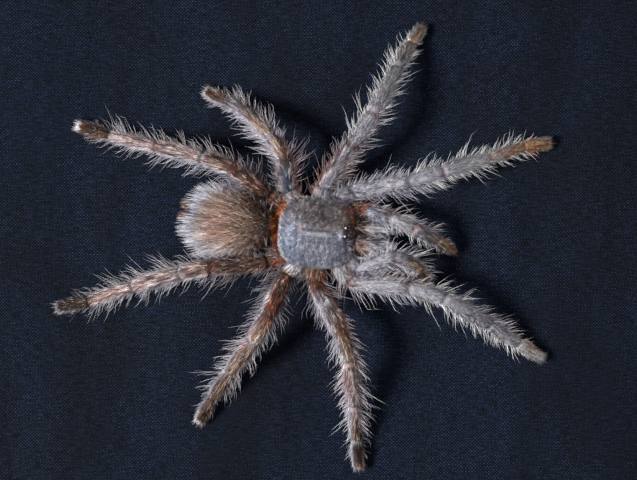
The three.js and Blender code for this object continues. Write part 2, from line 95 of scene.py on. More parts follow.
LIMBS = {
    "leg_left_1": {
        "gain": [(0, 0.9), (1, 1.1), (2, 2.8), (2.9, 3.2), (3.95, 3.0), (4.1, 1.7)],
        "joints": [
            [9.2, 11.7, 6.6], [13.9, 15.8, 7.2], [29.4, 17.8, 14.5], [38.2, 20.6, 13.5], [51.5, 24.6, 8.0],
            [61.3, 27.9, 3.6], [68.7, 29.0, 1.9],
        ],
        "top": [
            (0, LILAC), (1, PALE), (2.7, PALE), (3.3, PEACH), (3.95, PEACH), (4.15, OCHRE), (4.9, OCHRE),
            (5, CREAM),
        ],
        "left": [(2.8, PALE), (3.4, CREAM), (4.2, PEACH), (5, CREAM)],
        "right": [(-1, GREY), (2, LILAC), (2.8, LILAC), (3.3, TAN), (4.0, PEACH), (5, CREAM)],
        "rings": [(0.45, SLATE), (1, SLATE), (2, RUST)],
    },
    "leg_left_2": {
        "gain": [(0, 1.1), (1, 1.4), (2, 3.8), (4, 3.6), (5, 2.4)],
        "joints": [
            [4.5, 12.2, 6.6], [5.9, 16.6, 7.2], [14.0, 27.9, 16.0], [19.5, 36.1, 15.5], [26.3, 49.2, 8.5],
            [30.1, 56.2, 3.8], [33.2, 61.1, 1.9],
        ],
        "top": [
            (-1, PALE), (0, LILAC), (0.4, GREY), (1, GREY), (2, LILAC), (3, GREY), (4, TAN), (4.86, BROWN),
            (4.92, WHITE),
        ],
        "left": [(0, RUST), (0.9, BROWN), (1.5, GREY), (4, LILAC), (5, WHITE)],
        "right": [(-1, GREY), (0.6, TAN), (1.2, BROWN), (4, BROWN), (5, CREAM)],
        "rings": [(1, BROWN), (2, ROSE)],
    },
    "leg_left_3": {
        "gain": [(0, 1.1), (2, 1.2), (3, 1.0), (3.5, 0.65), (4.86, 0.65), (4.92, 1.3)],
        "joints": [
            [-0.5, 11.7, 6.6], [-4.1, 15.5, 7.2], [-4.5, 24.0, 15.0], [-8.1, 29.8, 15.0],
            [-15.7, 37.9, 8.5], [-21.1, 40.4, 3.6], [-26.5, 43.3, 1.8],
        ],
        "top": [
            (-1, PINK), (0, SLATE), (0.8, SLATE), (1.2, TAN), (2.5, TAN), (3.5, GREY), (4.2, BROWN),
            (4.86, BROWN), (4.92, WHITE),
        ],
        "left": [(0.6, BROWN), (1.2, LILAC), (4, LILAC), (5, WHITE)],
        "right": [(1.2, RUST), (2.2, BROWN), (3.4, TAN), (5, CREAM)],
        "rings": [(1, DARK), (2, LILAC), (3, BROWN)],
    },
    "leg_left_4": {
        "gain": [(0, 1.0), (1, 0.8), (2, 0.62), (4, 0.85), (4.1, 0.75), (4.86, 0.75), (4.92, 1.6)],
        "joints": [
            [-4.1, 9.7, 6.6], [-9.4, 14.1, 7.2], [-18.7, 21.6, 16.2], [-26.7, 24.4, 14.9],
            [-39.7, 27.6, 9.0], [-53.2, 30.9, 3.4], [-62.3, 33.8, 1.7],
        ],
        "top": [
            (-1, RUST), (0, DARK), (0.5, BROWN), (0.9, BROWN), (1.5, TAN), (2, PINK), (3.9, PINK),
            (4.08, DARK), (4.86, BROWN), (4.92, WHITE),
        ],
        "left": [(0.5, DARK), (1, GREY), (2.5, LILAC), (3.9, GREY), (4.1, DARK), (4.88, BROWN), (5, WHITE)],
        "right": [(-1, DARK), (0.5, BROWN), (1, BROWN), (2, OCHRE), (3.4, TAN), (4.05, DARK), (5, BROWN)],
        "rings": [(1, RUST), (2, WHITE), (3, RUST)],
    },
    "leg_right_1": {
        "gain": [(0, 1.05), (1, 1.2), (2, 2.4)],
        "joints": [
            [9.2, -3.6, 6.6], [13.3, -9.7, 7.2], [29.4, -10.9, 14.5], [38.7, -13.7, 13.5],
            [51.5, -21.3, 8.0], [59.9, -26.7, 3.6], [66.7, -31.0, 1.9],
        ],
        "top": [
            (-0.3, WHITE), (0, PINK), (0.3, PALE), (2, PALE), (3, LILAC), (4, PALE), (4.4, TAN), (5, WHITE),
        ],
        "left": [
            (-1, ROSE), (0.2, GREY), (0.8, TAN), (2, TAN), (3, BROWN), (4, OCHRE), (4.8, BROWN), (5, CREAM),
        ],
        "right": [(-1, PINK), (0.2, PALE), (4, PALE), (5, WHITE)],
        "rings": [(0, ROSE), (1, BROWN), (2, SLATE)],
    },
    "leg_right_2": {
        "gain": [(0, 0.85), (1, 1.0), (2, 1.6), (3.5, 1.5), (4, 0.9)],
        "joints": [
            [4.5, -4.1, 6.6], [3.4, -9.7, 7.2], [10.8, -23.5, 14.5], [13.3, -31.2, 13.5],
            [14.4, -43.7, 7.5], [15.1, -53.5, 3.4], [15.9, -61.4, 1.8],
        ],
        "top": [
            (-1, TAN), (0, RUST), (0.35, GREY), (0.9, TAN), (1.5, TAN), (2.4, PINK), (3, PINK), (3.9, TAN),
            (4.2, DARK), (4.86, BROWN), (4.93, WHITE),
        ],
        "left": [(0.8, RUST), (1.5, TAN), (3, TAN), (4.2, DARK), (5, CREAM)],
        "right": [
            (-1, TAN), (0, BROWN), (0.3, LILAC), (1.4, PALE), (1.95, WHITE), (2.25, ROSE), (2.6, ROSE),
            (2.9, LILAC), (4, PALE), (5, WHITE),
        ],
        "rings": [(0.15, DARK), (1, RUST), (3, LILAC), (4, WHITE)],
    },
    "leg_right_3": {
        "gain": [(0, 0.9), (3, 0.85), (4, 0.5), (4.86, 0.5), (4.92, 1.5)],
        "joints": [
            [-0.5, -4.1, 6.6], [-4.4, -7.7, 7.2], [-9.2, -18.5, 15.0], [-13.0, -25.7, 14.0],
            [-19.6, -34.0, 7.8], [-24.8, -41.8, 3.4], [-28.7, -48.6, 1.8],
        ],
        "top": [
            (-1, PALE), (0, BROWN), (0.5, BROWN), (0.9, RUST), (1.4, TAN), (4, TAN), (4.86, BROWN),
            (4.92, WHITE),
        ],
        "left": [(-1, DARK), (0.8, BROWN), (2, BROWN), (2.6, TAN), (4, BROWN), (5, CREAM)],
        "right": [(-1, GREY), (0, BROWN), (1, GREY), (2.2, ROSE), (2.7, LILAC), (4, GREY), (5, WHITE)],
        "rings": [(1, DARK), (2, WHITE), (3, WHITE)],
    },
    "leg_right_4": {
        "gain": [(0, 0.52), (1, 0.62), (2, 0.66), (3.9, 0.64), (4.1, 0.27), (4.8, 0.27), (5, 1)],
        "joints": [
            [-4.1, -1.9, 6.6], [-9.6, -4.1, 7.2], [-24.8, -5.4, 14.0], [-33.1, -7.1, 12.8],
            [-46.4, -10.8, 7.5], [-59.0, -15.0, 3.2], [-68.1, -17.0, 1.7],
        ],
        "top": [
            (-1, RUST), (0.1, BROWN), (0.95, BROWN), (1.2, TAN), (2, PINK), (3, PINK), (3.9, TAN),
            (4.08, BROWN), (4.88, DARK), (5, WHITE),
        ],
        "left": [
            (-1, ORANGE), (0.1, BROWN), (0.9, BROWN), (1.4, LILAC), (3.9, GREY), (4.1, DARK), (5, WHITE),
        ],
        "right": [(0.9, DARK), (1.4, TAN), (3.9, TAN), (4.1, DARK), (5, BROWN)],
        "rings": [(1, RUST), (2, WHITE)],
    },
    "palp_left": {
        "gain": [(0, 1.3), (1, 1.4), (1.5, 2.2), (2.5, 2.0), (4, 1.4)],
        "joints": [
            [12.0, 9.6, 6.4], [16.7, 10.6, 7.6], [24.5, 8.0, 12.0], [30.6, 5.5, 12.0], [36.9, 2.0, 7.5],
            [42.1, -1.1, 3.2],
        ],
        "top": [
            (0.16, RUST), (0.26, BLUE), (0.9, GREY), (1.4, PALE), (2.4, GREY), (3.1, TAN), (3.85, PEACH),
        ],
        "left": [(0.16, RUST), (0.3, GREY), (0.8, TAN), (1.6, TAN), (3, OCHRE), (3.7, OCHRE), (4, PEACH)],
        "right": [(-1, TAN), (0, SLATE), (1.5, PALE), (2.6, LILAC), (3.3, BROWN), (4, PINK)],
        "rings": [(1, GREY), (2, OCHRE)],
        "coat": {"long": 160},
    },
    "palp_right": {
        "gain": [(0, 1.3), (1, 1.4), (2, 1.8)],
        "joints": [
            [12.0, -1.4, 6.6], [15.5, -6.3, 7.6], [25.7, -2.5, 12.5], [31.7, -5.0, 11.5], [34.1, -9.7, 6.5],
            [35.2, -13.7, 2.4],
        ],
        "top": [(-1, PALE), (0, LILAC), (0.9, PALE), (1.3, GREY), (1.8, TAN), (2.6, TAN), (3.2, BROWN)],
        "left": [(-1, SLATE), (0, GREY), (0.8, PALE), (1.4, GREY), (2, TAN), (3, BROWN)],
        "right": [(-1, PINK), (0, SLATE), (1, GREY), (2, LILAC), (4, TAN)],
        "rings": [(1, BROWN)],
        "coat": {"long": 300},
    },
}

# ---- The spider's body, as in the CAD model: heights are above the cloth

BODY_TURN = math.radians(-4.3)
CARAPACE_CENTRE = np.array([3.4, 4.0, 9.8 + CLOTH_TOP])
CARAPACE_HALF = (10.2, 9.9)
FOVEA = np.array([-1.2, 4.4, 13.0 + CLOTH_TOP])
EYE_MOUND = np.array([11.9, 4.0, 12.6 + CLOTH_TOP])
ABDOMEN_CENTRE = np.array([-19.75, 6.8, 8.8 + CLOTH_TOP])
ABDOMEN_HALF = (11.25, 8.8, 7.6)
STERNUM_CENTRE = np.array([3.2, 4.0, 6.3 + CLOTH_TOP])


def body_axes(points, centre):
    """Points as seen from a part's centre, along the body and across it."""
    x, y = (points - centre)[:, 0], (points - centre)[:, 1]
    c, s = math.cos(BODY_TURN), math.sin(BODY_TURN)
    return x * c + y * s, y * c - x * s


# ---- Small numeric helpers


def unit(v):
    return v / np.maximum(np.linalg.norm(v, axis=-1, keepdims=True), 1e-12)


def clamp(x):
    return np.clip(x, 0, 1)


def hump(value, centre, reach, power=2):
    """1 at the centre and near 0 beyond the reach. A higher power gives it squarer shoulders."""
    return np.exp(-(np.abs((value - centre) / reach) ** power))


def rounded_size(x, y, power=2.9):
    """How far out a place is in a rounded square: 1 at its edge."""
    return (np.abs(x) ** power + np.abs(y) ** power) ** (1 / power)


def flattened(v, normal):
    """v without its share along the normal."""
    return unit(v - (v * normal).sum(-1, keepdims=True) * normal)


def draw_for(name):
    """The random draws of one piece, the same on every run."""
    return np.random.default_rng([ord(c) for c in name])


def ripple(x, rng, waves=7, slowest=1.0, fastest=6.0):
    """A smooth random function of x, mostly within -1 and 1."""
    rates = rng.uniform(slowest, fastest, waves)
    phases = rng.uniform(0, 2 * math.pi, waves)
    return np.sin(np.multiply.outer(x, rates) + phases).sum(-1) / math.sqrt(waves)


REPEAT = 64


class Grain:
    """A random pattern over two coordinates, smooth between whole numbers, that repeats."""

    def __init__(self, name):
        self.table = draw_for(name + " grain").normal(0, 1, (REPEAT, REPEAT))

    def at(self, a, b):
        i, j = np.floor(a).astype(int), np.floor(b).astype(int)
        u, v = a - i, b - j
        u, v = u * u * (3 - 2 * u), v * v * (3 - 2 * v)
        i, j, next_i, next_j = (n % REPEAT for n in (i, j, i + 1, j + 1))
        near = self.table[i, j] * (1 - u) + self.table[next_i, j] * u
        far = self.table[i, next_j] * (1 - u) + self.table[next_i, next_j] * u
        return near * (1 - v) + far * v


def interpolated(at, places, rows):
    """What np.interp does, for rows of three numbers."""
    return np.stack([np.interp(at, places, rows[:, i]) for i in range(3)], -1)


def along_stops(stops, q):
    """The colour at q, between stops (place, colour)."""
    places, colours = zip(*stops)
    return interpolated(q, places, linear(colours))


def blend(a, b, share):
    share = clamp(share)[..., None]
    return a * (1 - share) + b * share


def painted(made, *layers):
    """Linear colours with layers laid over them in turn, each (colour, share) or with a brightness."""
    for colour, share, *by in layers:
        made = blend(made, linear(colour, *by), share)
    return made


# ---- Materials


class Finish:
    """A Principled material that is put together node by node."""

    def __init__(self, name, **sockets):
        self.material = bpy.data.materials.new(name)
        self.material.use_nodes = True
        self.tree = self.material.node_tree
        self.surface = self.tree.nodes["Principled BSDF"]
        for socket, value in sockets.items():
            self.surface.inputs[socket.replace("_", " ")].default_value = value

    def node(self, kind, inputs=None, **settings):
        made = self.tree.nodes.new("ShaderNode" + kind)
        for key, value in settings.items():
            setattr(made, key, value)
        for key, value in (inputs or {}).items():
            self.feed(made.inputs[key], value)
        return made

    def feed(self, socket, value):
        if isinstance(value, bpy.types.NodeSocket):
            self.tree.links.new(value, socket)
        else:
            socket.default_value = value

    def tint(self):
        """The colour that add_tint gives the mesh."""
        return self.node("Attribute", attribute_name="tint").outputs["Color"]

    def mapped(self, vector, scale):
        return self.node("Mapping", {"Vector": vector, "Scale": scale}).outputs["Vector"]

    def places(self, scale=(1, 1, 1)):
        """The piece's own coordinates, scaled."""
        return self.mapped(self.node("TexCoord").outputs["Object"], scale)

    def noise(self, vector, scale, detail=3.0, roughness=0.55, distortion=0.0):
        inputs = {"Vector": vector, "Scale": scale, "Detail": detail}
        inputs |= {"Roughness": roughness, "Distortion": distortion}
        return self.node("TexNoise", inputs).outputs[0]

    def math(self, operation, a, b=0.0):
        return self.node("Math", {0: a, 1: b}, operation=operation).outputs[0]

    def product(self, made, *others):
        for other in others:
            made = self.math("MULTIPLY", made, other)
        return made

    def spread(self, value, low, high, to_low=0.0, to_high=1.0):
        inputs = {"Value": value, "From Min": low, "From Max": high, "To Min": to_low, "To Max": to_high}
        return self.node("MapRange", inputs).outputs["Result"]

    def mix(self, factor, a, b, kind="MIX"):
        return self.node("Mix", {0: factor, 6: a, 7: b}, data_type="RGBA", blend_type=kind).outputs[2]

    def ramp(self, value, stops):
        made = self.node("ValToRGB", {"Fac": value})
        elements = made.color_ramp.elements
        while len(elements) < len(stops):
            elements.new(0.5)
        for element, (place, colour) in zip(elements, stops):
            element.position = place
            element.color = colour
        return made.outputs["Color"]

    def bump(self, height, distance, strength=1.0, normal=None):
        inputs = {"Height": height, "Distance": distance, "Strength": strength}
        if normal is not None:
            inputs["Normal"] = normal
        return self.node("Bump", inputs).outputs["Normal"]

    def wear(self, colour, roughness, normal=None):
        for socket, value in (("Base Color", colour), ("Roughness", roughness), ("Normal", normal)):
            if value is not None:
                self.feed(self.surface.inputs[socket], value)
        return self.material


def wood_finish(name, scale):
    """Dark stained wood, with its grain along the axis that scale stretches."""
    f = Finish(name, Coat_Weight=0.12, Coat_Roughness=0.3)
    where = f.places(scale)
    figure = f.noise(where, 26, detail=6, roughness=0.6, distortion=0.7)
    pores = f.noise(where, 210, detail=2, roughness=0.5)
    blotches = f.noise(f.places(), 30, detail=2)
    tones = [(0.28, (0.026, 0.011, 0.006, 1)), (0.46, (0.075, 0.032, 0.014, 1))]
    tones += [(0.6, (0.12, 0.055, 0.024, 1)), (0.78, (0.05, 0.021, 0.01, 1))]
    grain = f.ramp(figure, tones)
    pored = f.mix(f.spread(pores, 0.36, 0.5), (0.015, 0.007, 0.004, 1), grain)
    stained = f.mix(f.spread(blotches, 0.35, 0.7, 0.0, 0.35), pored, (0.13, 0.06, 0.028, 1))
    rough = f.spread(figure, 0.3, 0.75, 0.34, 0.55)
    relief = f.bump(pores, 0.00012, 0.5, f.bump(figure, 0.0002, 0.35))
    return f.wear(stained, rough, relief)


def hardboard_finish():
    f = Finish("hardboard")
    where = f.places()
    fibres = f.noise(where, 700, detail=5, roughness=0.7, distortion=1.5)
    patches = f.noise(where, 22, detail=3)
    tones = [(0.3, (0.07, 0.03, 0.013, 1)), (0.55, (0.15, 0.07, 0.03, 1)), (0.8, (0.24, 0.13, 0.06, 1))]
    colour = f.mix(f.spread(patches, 0.35, 0.65, 0, 0.4), f.ramp(fibres, tones), (0.11, 0.05, 0.022, 1))
    return f.wear(colour, f.spread(fibres, 0.3, 0.8, 0.7, 0.9), f.bump(fibres, 0.00015, 0.6))


def card_finish():
    f = Finish("mount_card")
    where = f.places()
    fibres = f.noise(where, 900, detail=4, roughness=0.65)
    foxing = f.noise(where, 35, detail=4)
    colour = f.mix(f.spread(foxing, 0.5, 0.75, 0, 0.5), (0.66, 0.62, 0.53, 1), (0.5, 0.42, 0.3, 1))
    colour = f.mix(f.spread(fibres, 0.35, 0.65, 0, 0.25), colour, (0.55, 0.5, 0.41, 1))
    return f.wear(colour, f.spread(fibres, 0.3, 0.7, 0.8, 0.95), f.bump(fibres, 0.00008, 0.5))


def steel_finish():
    f = Finish("zinc_steel", Metallic=1.0)
    streaks = f.noise(f.places((1, 14, 14)), 160, detail=3)
    spangle = f.noise(f.places(), 420, detail=4, roughness=0.7)
    colour = f.mix(f.spread(spangle, 0.35, 0.7), (0.33, 0.33, 0.32, 1), (0.52, 0.52, 0.5, 1))
    return f.wear(colour, f.spread(streaks, 0.3, 0.7, 0.28, 0.5), f.bump(streaks, 0.00003, 0.4))


def speckled_finish(name, scale, dark, light, rough, relief, **sockets):
    """Two tones in soft specks, as on set adhesive or a studio floor."""
    f = Finish(name, **sockets)
    specks = f.noise(f.places(), scale, detail=4)
    colour = f.mix(f.spread(specks, 0.35, 0.65), (*dark, 1), (*light, 1))
    return f.wear(colour, f.spread(specks, 0.3, 0.7, *rough), f.bump(specks, *relief))


def eye_finish(name, scale, dark, light, rough):
    f = Finish(name, Coat_Weight=1.0, Coat_Roughness=0.03)
    haze = f.noise(f.places(), scale, detail=2)
    return f.wear(f.mix(haze, dark, light), f.spread(haze, 0.3, 0.7, *rough))


THREAD = 0.46 * MM  # from one thread of the cloth to the next


def cloth_finish():
    """Plain weave: a dome where each thread comes up, its neighbours turned the other way. Its colour holds
    painted shade and light: darker in the grooves between domes, lighter on one set of threads than the
    other, and in broad bands of fold shading.
    """
    f = Finish("navy_cloth", Specular_IOR_Level=0.12)
    own = f.node("TexCoord").outputs["Object"]
    drift = f.node("TexNoise", {"Vector": own, "Scale": 60.0, "Detail": 2.0}).outputs["Color"]
    centred = f.node("VectorMath", {0: drift, 1: (0.5, 0.5, 0.5)}, operation="SUBTRACT").outputs[0]
    moved = f.node("VectorMath", {0: centred, "Scale": 1.6 * THREAD}, operation="SCALE").outputs[0]
    place = f.node("VectorMath", {0: own, 1: moved}, operation="ADD").outputs[0]
    parts = f.node("SeparateXYZ", {0: place}).outputs
    crossing = f.product(*(f.math("SINE", f.product(parts[axis], math.pi / THREAD)) for axis in "XY"))
    dome = f.math("POWER", f.math("ABSOLUTE", crossing), 0.55)
    weft_up = f.spread(crossing, -0.15, 0.15)

    weft_tone = f.noise(f.mapped(place, (300, 1900, 1)), 1.15, detail=2, roughness=0.6)
    warp_tone = f.noise(f.mapped(place, (1900, 300, 1)), 1.15, detail=2, roughness=0.6)
    tone = f.node("Mix", {0: weft_up, 2: warp_tone, 3: weft_tone}, data_type="FLOAT").outputs[0]
    lint = f.noise(place, 2600, detail=2, roughness=0.7)
    patch = f.noise(own, 55, detail=4, roughness=0.62)
    wide = f.noise(own, 13, detail=2)
    # folds only brightens and darkens the colour: painted light and shade of broad folds in the cloth
    folds = f.noise(f.places((1, 0.17, 1)), 62, detail=2, distortion=0.4)

    navy = f.mix(f.spread(patch, 0.38, 0.62), shade((13, 18, 28)), shade((16, 23, 37)))
    navy = f.mix(f.spread(wide, 0.35, 0.65, 0, 0.5), navy, shade((12, 19, 34)))
    # light: the threads' own tones and lint, with painted shade in the grooves between the domes, painted
    # light on the threads that lie one way, and painted fold shading
    light = f.product(
        f.spread(tone, 0.36, 0.64, 0.25, 1.75),
        f.spread(dome, 0, 1, 0.25, 1.45),
        f.spread(lint, 0.4, 0.62, 0.35, 1.75),
        f.spread(weft_up, 0, 1, 0.4, 1.6),
        f.spread(folds, 0.36, 0.64, 0.78, 1.26),
    )
    colour = f.mix(1.0, navy, f.node("CombineXYZ", {0: light, 1: light, 2: light}).outputs[0], "MULTIPLY")
    relief = f.bump(tone, 0.08 * MM, 0.6, f.bump(dome, 0.1 * MM, 0.8))
    return f.wear(colour, f.spread(lint, 0.3, 0.7, 0.8, 0.95), relief)


def cuticle_finish(name, grain, roughness, gloss=0.0, colour=None):
    """Dry skin: creased and pitted, with its colour in the mesh unless one is given."""
    f = Finish(name, Coat_Weight=gloss, Coat_Roughness=0.25, Specular_IOR_Level=0.3)
    where = f.places()
    pits = f.noise(where, grain, detail=5, roughness=0.65)
    mottle = f.noise(where, grain * 0.22, detail=3)
    own = shade(colour) if colour else f.tint()
    dull = f.mix(1.0, own, (0.5, 0.46, 0.44, 1), "MULTIPLY")
    body = f.mix(f.spread(mottle, 0.35, 0.65), dull, own)
    body = f.mix(f.spread(pits, 0.3, 0.5, 0.6, 0.0), body, shade(DARK, 0.5))
    relief = f.bump(pits, 0.12 * MM, 0.7, f.bump(mottle, 0.3 * MM, 0.5))
    return f.wear(body, f.spread(pits, 0.3, 0.7, roughness - 0.1, roughness + 0.15), relief)


def hair_finish():
    """Hair: its colour from root to tip is in the mesh, and varies a little along each strand."""
    f = Finish("hair", Specular_IOR_Level=0.2)
    bands = f.noise(f.places(), 2600, detail=2)
    tones = [(0.3, (0.8, 0.78, 0.77, 1)), (0.7, (1, 1, 1, 1))]
    colour = f.mix(1.0, f.tint(), f.ramp(bands, tones), "MULTIPLY")
    return f.wear(colour, f.spread(bands, 0.3, 0.7, 0.42, 0.62), f.bump(bands, 0.02 * MM, 0.3))


# ---- Meshes


def mesh_from(name, points, corners, sizes, tint=None, uv=None):
    """A smooth mesh from arrays: points in millimetres, the faces' corners, and each face's size."""
    mesh = bpy.data.meshes.new(name)
    mesh.vertices.add(len(points))
    mesh.vertices.foreach_set("co", (np.asarray(points) * MM).astype(np.float32).ravel())
    mesh.loops.add(len(corners))
    mesh.loops.foreach_set("vertex_index", np.asarray(corners, np.int32))
    mesh.polygons.add(len(sizes))
    starts = np.concatenate([[0], np.cumsum(sizes)[:-1]]).astype(np.int32)
    mesh.polygons.foreach_set("loop_start", starts)
    if uv is not None:
        layer = mesh.uv_layers.new(name="OFBake", do_init=False)
        layer.uv.foreach_set("vector", uv.astype(np.float32).ravel())
    mesh.update(calc_edges=True)
    mesh.shade_smooth()
    if tint is not None:
        add_tint(mesh, tint)
    return mesh


def add_tint(mesh, tint):
    rgba = np.ones((len(mesh.vertices), 4), np.float32)
    rgba[:, :3] = clamp(tint)
    mesh.color_attributes.new("tint", "FLOAT_COLOR", "POINT").data.foreach_set("color", rgba.ravel())


def show(name, mesh, material, replaces=()):
    """A piece of the object that rides on the frame's one body."""
    piece = bpy.data.objects.new(name, mesh)
    bpy.context.scene.collection.objects.link(piece)
    mesh.materials.clear()
    mesh.materials.append(material)
    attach(piece, "root")
    if replaces:
        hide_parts(*replaces)
    return piece


def fine_mesh(name, node, voxel, smoothing):
    """A CAD node's shape as one fine, evenly meshed skin."""
    copy = bpy.data.objects.new(name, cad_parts[node].data.copy())
    bpy.context.scene.collection.objects.link(copy)
    remesh = copy.modifiers.new("even", "REMESH")
    remesh.mode = "VOXEL"
    remesh.voxel_size = voxel * MM
    copy.modifiers.new("smooth", "SMOOTH").iterations = smoothing
    bpy.context.view_layer.update()
    shown = copy.evaluated_get(bpy.context.evaluated_depsgraph_get())
    mesh = bpy.data.meshes.new_from_object(shown)
    bpy.data.objects.remove(copy)
    mesh.name = name
    mesh.shade_smooth()
    return mesh


def skin_of(node, voxel, finish, shape=None, colour=None, smoothing=3):
    """Shows a fine skin in place of a CAD node. shape moves its points, and colour tints them."""
    mesh = fine_mesh(f"{node}_skin", node, voxel, smoothing)
    points = points_of(mesh)
    if shape:
        points = shape(points, normals_of(mesh))
        move_points(mesh, points)
    if colour:
        add_tint(mesh, colour(points))
    show(f"{node}_skin", mesh, finish, [node])
    return mesh


def tube_faces(rings, sides):
    """The corners and face sizes of a tube of rings, closed by one more point at each end."""
    i, j = np.meshgrid(np.arange(rings - 1), np.arange(sides), indexing="ij")
    a, b = i * sides + j, i * sides + (j + 1) % sides
    quads = np.stack([a, b, b + sides, a + sides], -1)
    ring, far, first = np.arange(sides), (rings - 1) * sides, rings * sides
    start = np.stack([(ring + 1) % sides, ring, np.full(sides, first)], -1)
    end = np.stack([far + ring, far + (ring + 1) % sides, np.full(sides, first + 1)], -1)
    corners = np.concatenate([quads.ravel(), start.ravel(), end.ravel()])
    return corners, np.repeat([4, 3], [quads.size // 4, 2 * sides])


def read_vectors(mesh, what):
    found = np.empty(len(mesh.vertices) * 3, np.float32)
    mesh.vertices.foreach_get(what, found)
    return found.reshape(-1, 3).astype(float)


def points_of(mesh):
    return read_vectors(mesh, "co") / MM


def normals_of(mesh):
    return read_vectors(mesh, "normal")


def move_points(mesh, points):
    mesh.vertices.foreach_set("co", (points * MM).astype(np.float32).ravel())
    mesh.update()


def scatter(mesh, count, rng, likely=None):
    """Random places on a mesh, with the surface's normal. likely(places, normals) weighs them."""
    mesh.calc_loop_triangles()
    corners = np.empty(len(mesh.loop_triangles) * 3, np.int32)
    mesh.loop_triangles.foreach_get("vertices", corners)
    corners = corners.reshape(-1, 3)
    points, normals = points_of(mesh), normals_of(mesh)
    a, b, c = (points[corners[:, i]] for i in range(3))
    weight = np.linalg.norm(np.cross(b - a, c - a), axis=1)
    if likely is not None:
        weight = weight * likely((a + b + c) / 3, unit(normals[corners].mean(1)))
    chosen = rng.choice(len(corners), count, p=weight / weight.sum())
    u, v = rng.random(count), rng.random(count)
    over = u + v > 1
    u[over], v[over] = 1 - u[over], 1 - v[over]
    shares = np.stack([1 - u - v, u, v], -1)[..., None]
    places = (points[corners[chosen]] * shares).sum(1)
    return places, unit((normals[corners[chosen]] * shares).sum(1))


def upward(more, least):
    """A weight for scatter that favours what faces up."""
    return lambda p, n: np.clip(n[:, 2] + more, least, 1)


# ---- The cloth

SLACK, SLACK_REACH = 0.8, 14  # how high the cloth's folds are, and how far from the frame they start


def cloth_height(x, y):
    """The stretched cloth's top: slack folds that die out towards the frame."""
    folds = (
        0.17 * np.sin(x / 6.2 + 0.9 * np.sin(y / 31) + 0.4)
        + 0.12 * np.sin(x / 4.1 - y / 19 + 1.9)
        + 0.1 * np.sin(y / 12 + 0.5 * np.sin(x / 23) + 2.2)
        + 0.08 * np.sin((x + 0.6 * y) / 7.3 + 0.7)
    )
    edge = np.minimum(SIGHT_HALF[0] - np.abs(x), SIGHT_HALF[1] - np.abs(y))
    return CLOTH_TOP - 0.06 + folds * clamp(edge / SLACK_REACH) ** 2 * SLACK


def make_cloth(material):
    length, width, cell = 239.6, 179.6, 1.6
    nx, ny = round(length / cell), round(width / cell)
    sides = np.linspace(-length / 2, length / 2, nx + 1), np.linspace(-width / 2, width / 2, ny + 1)
    x, y = np.meshgrid(*sides, indexing="ij")
    points = np.stack([x, y, cloth_height(x, y)], -1).reshape(-1, 3)
    first = (np.arange(nx)[:, None] * (ny + 1) + np.arange(ny)).ravel()
    corners = np.stack([first, first + ny + 1, first + ny + 2, first + 1], -1)
    mesh = mesh_from("backing_cloth_woven", points, corners.ravel(), np.full(len(first), 4))
    cloth = show("backing_cloth_woven", mesh, material, ["backing_cloth"])


# ---- Hair

CLEARANCE = 0.12  # between a strand's middle line and the cloth
ROOT_DEPTH = 0.12  # how far a strand starts below the skin, at most
TAPER = 0.75  # the share of its thickness that a strand loses before its tip
MAP_MARGIN = 0.08  # round a strand in its own cell of the map


